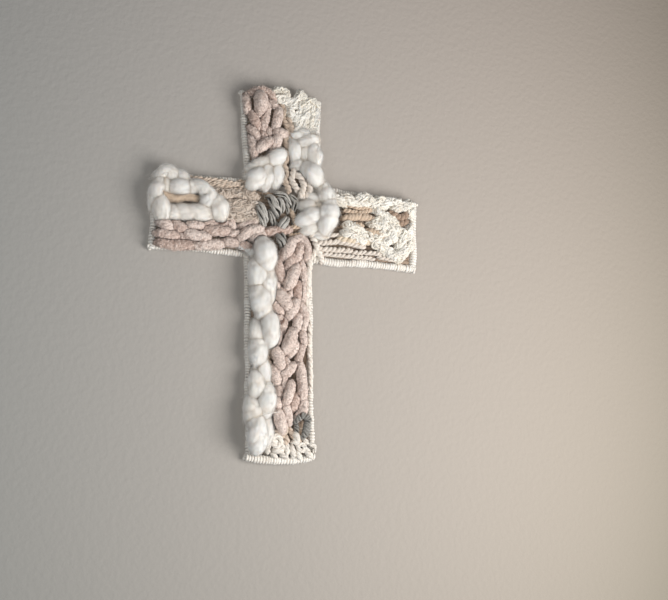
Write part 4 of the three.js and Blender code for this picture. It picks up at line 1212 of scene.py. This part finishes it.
def build_pile(wool, owner):
    strand = strands[owner]
    form, pile = kinds[strand.kind], piles[strand.kind]
    strand.stepped(pile["step"])
    sides, size = pile["sides"], pile["tuft"]
    rings, out = rings_round(strand.path, strand.side, strand.front, strand.radius, strand.depth, sides)
    rings, pressed = make_room(rings, owner, form["slack"], form["soft"])
    loose = np.clip(pile_spread - pressed / full_press, pile_least, 1)
    tufts = np.abs(noise(rings, size, owner)) + fine_tufts * np.abs(noise(rings, size / 2, owner + 9))
    lift = (tufts - pile_mean) * pile["height"] * loose
    lift = lift + noise(rings, size * wander_tufts, owner + 5) * pile["wander"] * loose
    rings = rings + out * lift[..., None]
    # Pile that lies on top takes less painted shade.
    recess_shade = recess_shade_of(rings, pressed) * (lifted_shade if strand.lift else 1)
    wool.add(rings, out, np.clip(tufts, 0, 1), recess_shade, tints_and_highlights[owner])


def build_plied(wool, owner):
    strand = strands[owner].stepped(ply_step)
    form = plies.get(strand.node, plies.get(strand.kind, usual_plies))
    for ply in range(form["count"]):
        turn = strand.lengths / form["lay"] + ply / form["count"]
        turn = turn + varied(strand.lengths, ply_wobble, owner * 5 + ply)
        turn = 2 * np.pi * turn + owner
        offset = np.cos(turn)[:, None] * strand.front + np.sin(turn)[:, None] * strand.side
        path = strand.path + offset * (strand.radius * form["helix_share"])[:, None]
        ply_radius = form["ply_share"] * strand.full
        path = make_room(path[:, None], owner, -ply_radius, kinds[strand.kind]["soft"])[0][:, 0]
        side, front = frame_along(path, strand.front)
        rings, out = rings_round(path, side, front, strand.radius * form["ply_share"], 1, form["sides"])
        rings, fuzz = roughened(rings, out, ply_fuzz, owner + ply * 13)
        # Painted shade on the side of each ply that faces the strand's middle.
        inward_shade = -np.einsum("ijk,ik->ij", out, offset) * inner_shade.get(strand.kind, usual_inner_shade)
        recess_shade = np.maximum(recess_shade_of(rings, np.zeros(rings.shape[:2])), np.clip(inward_shade, 0, 1))
        recess_shade = np.maximum(recess_shade, darker.get(strand.node, 0))
        wool.add(rings, out, 0.5 + fuzz / 2, recess_shade, tints_and_highlights[owner])


def build_curls(wool, owner):
    """A looped yarn: a fluffy core, darker where it lies low with painted shade, with cords that loop round
    it.
    """
    strand = strands[owner]
    form = curls[strand.kind]
    strand.fine[:, 3] = np.minimum(strand.fine[:, 3], form["core"])
    build_pile(wool, owner)
    lengths = strand.stepped(curl_core_step).lengths
    for cord in range(form["cords"]):
        seed = owner * 31 + cord * 5
        sway = form["sway"] * line_noise(lengths, curl_sway_length, seed)[:, None]
        out = np.cos(sway) * strand.front + np.sin(sway) * strand.side
        round_way = np.cos(sway) * strand.side - np.sin(sway) * strand.front
        turn = 2 * np.pi * (lengths / form["pitch"] + varied(lengths, curl_turning, seed + 2))
        clump = 1 + varied(lengths, curl_clump, seed + 6)
        reach = form["loop"] * clump * (1 + varied(lengths, curl_reach, seed + 4))
        height = strand.radius + varied(lengths, curl_height, seed + 1)
        loop = np.cos(turn)[:, None] * strand.along + np.sin(turn)[:, None] * round_way
        path = even(strand.path + out * height[:, None] + loop * reach[:, None], curl_step)
        path[:, 1] = np.minimum(path[:, 1], -weave_back - clearance)
        side, front = frame_along(path, curl_toward)
        radius = form["radius"] * (1 + curl_swell[0] * noise(path, curl_swell[1], seed))
        rings, out = rings_round(path, side, front, radius, 1, curl_sides)
        rings, _ = roughened(rings, out, curl_fuzz, seed)
        # Painted shade where the loops lie low, and painted shade in clumps at random.
        recess_shade = recess_shade_of(rings, np.zeros(rings.shape[:2])) * curl_shade
        recess_shade = np.clip(recess_shade + curl_shade_mottle * noise(rings, curl_clump[1], owner), 0, 1)
        wool.add(rings, out, curl_tuft, recess_shade, tints_and_highlights[owner])


# What builds each kind of yarn that isn't plied.
builders = {
    "roving": build_roving,
    "chenille": build_pile,
    "nubby": build_curls,
    "soft": build_pile,
    "boucle": build_curls,
}

# The edge winding, one stretch for each side of the outline, from each corner to the next.
stretches = (
    "top_end top_right right_upper right_end right_lower foot_right "
    "foot_end foot_left left_lower left_end left_upper top_left"
).split()
outline = list(corners.values())
turn_pitch = 2.75 * mm
turn_radius = 1.5 * mm
turn_steps = 14
turn_sides = 9
turn_tilt = 0.8 * mm
# How the turns vary, each as an amount and the number of turns over which it changes.
turn_slip = (0.6 * mm, 2.3)
turn_reach = (0.45 * mm, 1.4)
turn_wander = 0.9 * mm
turn_wander_length = 11
turn_swell = (0.22, 1.7)
turn_fuzz = (0.16 * mm, 0.9 * mm)
turn_tint_length = 3.1
# How dark the painted shade in the creases between turns is.
turn_shade = 0.5
# How much fuller and how far outward the winding bulges where it isn't plain.
bulges = {
    "foot_end": (1.4, 2.8 * mm),
    "right_lower": (1.35, 1.4 * mm),
    "right_end": (1.25, 0.8 * mm),
    "top_right": (1.1, 0.3 * mm),
}


def straight(start, end):
    """The length of a line between two flat places, its direction, and the direction square to it."""
    length = np.linalg.norm(end - start)
    along = (end - start) / length
    return length, along, np.array([-along[1], along[0]])


def wind(wool, number, name):
    """Yarn wound round the wire from one corner to the next, with uneven turns."""
    fuller, outward = bulges.get(name, (1, 0))
    start, end = outline[number], outline[(number + 1) % len(outline)]
    length, along, side = straight(start, end)
    turns = (length + 2 * wrap_radius) / turn_pitch
    steps = np.arange(round(turns * turn_steps)) / turn_steps
    place = steps * turn_pitch - wrap_radius + varied(steps, turn_slip, number)
    angle = 2 * np.pi * steps
    reach = (wrap_radius - turn_radius) * fuller + varied(steps, turn_reach, number + 1)
    belly = np.sin(np.pi * np.clip(place / length, 0, 1)) ** 0.5 * outward
    bow = varied(steps, (turn_wander * fuller**2, turn_wander_length), number + 2) + belly
    place = (place + turn_tilt * np.sin(angle))[:, None]
    flat = start + along * place + side * (bow + np.sin(angle) * reach)[:, None]
    path = np.column_stack([flat[:, 0], -wrap_radius * fuller + np.cos(angle) * reach, flat[:, 1]])
    path[:, 1] = np.minimum(path[:, 1], -turn_radius)
    axis = np.array([along[0], 0, along[1]])
    tangent = unit(np.gradient(path, axis=0))
    front = unit(np.cross(tangent, axis))
    radius = turn_radius * fuller**0.5 * (1 + varied(steps, turn_swell, number + 3))
    rings, out = rings_round(path, np.cross(tangent, front), front, radius, 1, turn_sides)
    rings, fuzz = roughened(rings, out, turn_fuzz, number)
    # Painted shade where a turn faces its neighbours along the wire.
    sunk_shade = np.abs(np.einsum("ijk,k->ij", out, axis))
    tint = 0.5 + 0.5 * line_noise(steps, turn_tint_length, number)[:, None]
    wool.add(rings, out, 0.5 + fuzz / 2, sunk_shade**2 * turn_shade, tint)


# The weave: rows along each limb, over and under the strings that cross it.
weave_middle = (weave_front + weave_back) / 2
row_pitch = 3.9 * mm
row_radius = 2.05 * mm
row_depth_share = 0.75
row_wave = 1.05 * mm
row_step = 1.3 * mm
row_sides = 12
row_drift = (0.4 * mm, 14 * mm)
row_swell = (0.1, 7 * mm)
row_fuzz = (0.25 * mm, 1.3 * mm)
# The weave lies in the shade of the front yarns on that side.
row_front_recess = 0.8
string_pitch = 12 * mm
string_radius = 0.65 * mm
string_points = 24
string_sides = 10
string_recess = 0.3
edge_margin = wrap_radius + clearance
# The rows reach a little into the winding.
row_margin = edge_margin * 0.8


def weave_row(wool, start, end, row, seed):
    length, along, side = straight(start, end)
    places = np.arange(row_margin, length - row_margin, row_step)
    drift = varied(places, row_drift, seed)
    flat = start + along * places[:, None] + side * drift[:, None]
    wave = np.cos(np.pi * (places - edge_margin) / string_pitch + row * np.pi) * row_wave
    path = np.column_stack([flat[:, 0], -weave_middle - wave, flat[:, 1]])
    across = np.broadcast_to([side[0], 0, side[1]], path.shape)
    front = np.cross(unit(np.gradient(path, axis=0)), across)
    radius = row_radius * (1 + varied(places, row_swell, seed + 50))
    rings, out = rings_round(path, across, front, radius, row_depth_share, row_sides)
    rings, fuzz = roughened(rings, out, row_fuzz, seed)
    # Painted shade on the sides of each row where it meets the next, and on its front side.
    sunk_shade = np.abs(np.einsum("ijk,k->ij", out, [side[0], 0, side[1]]))
    recess_shade = np.maximum(sunk_shade**3, row_front_recess * (out[..., 1] < 0))
    wool.add(rings, out, 0.5 + fuzz / 2, recess_shade, random_rows[seed % len(random_rows)])


def weave_string(wool, start, end):
    middle, half = (start + end) / 2, (end - start) / 2
    half = half * (1 - edge_margin / np.linalg.norm(half))
    flat = middle + half * np.linspace(-1, 1, string_points)[:, None]
    path = np.column_stack([flat[:, 0], np.full(string_points, -weave_middle), flat[:, 1]])
    front = np.broadcast_to([0.0, -1.0, 0.0], path.shape)
    across = np.cross(unit(np.gradient(path, axis=0)), front)
    rings, out = rings_round(path, across, front, string_radius, 1, string_sides)
    wool.add(rings, out, 0.5, string_recess, 0.5)


def weave(rows, strings, limb, upright, seed):
    """Rows from the corners called start to those called end, with strings across."""
    start_a, start_b, end_a, end_b = (corners[name] for name in limbs[limb])
    if not upright:
        start_b, end_a = end_a, start_b
    width = (np.linalg.norm(start_b - start_a) + np.linalg.norm(end_b - end_a)) / 2
    count = round((width - 2 * edge_margin) / row_pitch)
    for row in range(count):
        share = edge_margin / width + (row + 0.5) / count * (1 - 2 * edge_margin / width)
        start, end = start_a + (start_b - start_a) * share, end_a + (end_b - end_a) * share
        weave_row(rows, start, end, row, seed + row)
    length = np.linalg.norm(end_a - start_a)
    for string in range(1, int((length - edge_margin) / string_pitch)):
        share = (edge_margin + string * string_pitch) / length
        weave_string(strings, start_a + (end_a - start_a) * share, start_b + (end_b - start_b) * share)


for number, name in enumerate(stretches):
    wool = Wool()
    wind(wool, number, name)
    add_piece(f"wound_{name}", wool.mesh(f"wound_{name}"), "edge_yarn", f"edge_wrap_{name}")
    add_fibres(f"wound_{name}_fibres", wool.skins, "plied", "edge_yarn")

for seed, (part, limb) in enumerate((("top", "top_limb"), ("crossbar", "crossbar"), ("foot", "foot_limb"))):
    rows, strings = Wool(), Wool()
    weave(rows, strings, limb, part != "crossbar", 100 * seed)
    add_piece(f"weave_rows_{part}", rows.mesh(f"weave_rows_{part}"), "weave_yarn", f"ground_weave_{part}")
    add_piece(f"strings_{part}", strings.mesh(f"strings_{part}"), "warp_string", f"warp_string_{part}")

# The front yarns, with their loose fibres, one mesh of each for a node.
for node, limb, kind, rows in front_yarns:
    wool, slot = Wool(), kinds[kind]["slot"]
    for owner, strand in enumerate(strands):
        if strand.node == node:
            builders.get(kind, build_plied)(wool, owner)
    add_piece(f"{node}_strands", wool.mesh(f"{node}_strands"), slot, node)
    add_fibres(f"{node}_fibres", wool.skins, kind, slot)

for name in ("frame_wire", "brace_wire_upper", "brace_wire_lower"):
    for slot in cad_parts[name].material_slots:
        slot.link = "OBJECT"
        slot.material = material_of("steel_wire")

# The wall behind and the floor below, which aren't part of the object. The wall is seen by the camera
# only, so it doesn't change the light on the wool.
wall_gap = 0.5 * mm
wall_half = 2
wall_top = 1.4
floor_level = -2.6
floor_half = 6


def rectangle(left, right, low, high):
    return (left, low), (right, low), (right, high), (left, high)


def plane(name, places, material):
    mesh = bpy.data.meshes.new(name)
    mesh.from_pydata(places, [], [(0, 1, 2, 3)])
    mesh.materials.append(material)
    piece = add_object(name, mesh)
    return piece


def vector_math(tree, operation, first, second):
    node = add_node(tree, "VectorMath", {0: first, 1: second})
    node.operation = operation
    return node


def wall_material():
    """Paint with painted cool and warm light and a painted pool of light, seen from the front only."""
    material, tree, shader = plain_shader("wall_paint_and_light")
    tree.nodes.remove(shader)
    place = object_place(tree)
    offset = vector_math(tree, "SUBTRACT", place, wall_painted_light_place).outputs["Vector"]
    scaled = vector_math(tree, "DIVIDE", offset, wall_painted_light_spread).outputs["Vector"]
    away = vector_math(tree, "DOT_PRODUCT", scaled, scaled).outputs["Value"]
    across = add_node(tree, "SeparateXYZ", {"Vector": place}).outputs["X"]
    side_lit_paint = mix_colour(tree, map_range(tree, across, *wall_turn), wall_cool_lit, wall_warm_lit)
    colour = mix_colour(tree, away, side_lit_paint, wall_painted_dim)
    peel = add_node(tree, "TexNoise", {"Vector": place, "Scale": wall_peel_scale}).outputs["Fac"]
    diffuse = add_node(tree, "BsdfDiffuse", {"Color": colour, "Normal": bumps(tree, peel, *wall_peel)})
    seen = add_node(tree, "MixShader", {
        "Fac": add_node(tree, "NewGeometry", {}).outputs["Backfacing"],
        1: diffuse.outputs["BSDF"],
        2: add_node(tree, "BsdfTransparent", {}).outputs["BSDF"],
    })
    set_inputs(tree, tree.nodes["Material Output"], {"Surface": seen.outputs["Shader"]})
    return material


def floor_material():
    material, tree, shader = plain_shader("floor_paint")
    set_inputs(tree, shader, {"Base Color": floor_colour, "Roughness": 0.9})
    return material


wall_places = rectangle(-wall_half, wall_half, floor_level, wall_top)
wall = plane("wall", [(x, wall_gap, z) for x, z in wall_places], wall_material())
for ray in ("visible_diffuse", "visible_glossy", "visible_transmission", "visible_shadow"):
    setattr(wall, ray, False)
floor_places = rectangle(-floor_half, floor_half, -floor_half, floor_half)
plane("floor", [(x, y, floor_level) for x, y in floor_places], floor_material())

# Camera.
camera = add_object("camera", bpy.data.cameras.new("camera"))
camera.matrix_world = (
    Matrix.Translation(camera_place)
    @ Matrix.Rotation(camera_turn, 4, "Z")
    @ Matrix.Rotation(math.pi / 2 + camera_rise, 4, "X")
    @ Matrix.Rotation(camera_roll, 4, "Z")
)
camera.data.lens = camera_lens
camera.data.sensor_width = sensor_width
bpy.context.scene.camera = camera


def add_lamp(name, place, size, power, colour):
    data = bpy.data.lights.new(name, "AREA")
    data.shape = "RECTANGLE"
    data.size = data.size_y = size
    data.energy = power
    data.color = colour
    lamp = add_object(name, data)
    toward = unit(np.array(lamp_target) - np.array(place))
    lamp.location = place
    lamp.rotation_euler = Vector(toward).to_track_quat("-Z", "Y").to_euler()


# A soft lamp near the right of the foot, a weaker cool one to the left below, one for the back.
lamp_target = (0, 0, -0.15)
add_lamp("window", place=(0.52, -0.6, -0.46), size=0.6, power=8.6, colour=(1, 0.985, 0.965))
add_lamp("fill", place=(-0.45, -0.85, -0.5), size=0.8, power=3.6, colour=(0.92, 0.97, 1))
add_lamp("behind", place=(-0.6, 2.4, 0.6), size=1.5, power=20, colour=(1, 1, 1))

# The world lights the wool softly, and the camera sees it as a pale backdrop.
world = bpy.data.worlds.new("studio")
bpy.context.scene.world = world
world.use_nodes = True
tree = world.node_tree
lighting = tree.nodes["Background"]
set_inputs(tree, lighting, {"Color": (1, 0.99, 0.98, 1), "Strength": 0.21})
backdrop = add_node(tree, "Background", {"Color": (0.82, 0.81, 0.8, 1)})
seen = add_node(tree, "MixShader", {
    "Fac": add_node(tree, "LightPath", {}).outputs["Is Camera Ray"],
    1: lighting.outputs["Background"],
    2: backdrop.outputs["Background"],
})
set_inputs(tree, tree.nodes["World Output"], {"Surface": seen.outputs["Shader"]})

bpy.context.scene.view_settings.view_transform = "Standard"
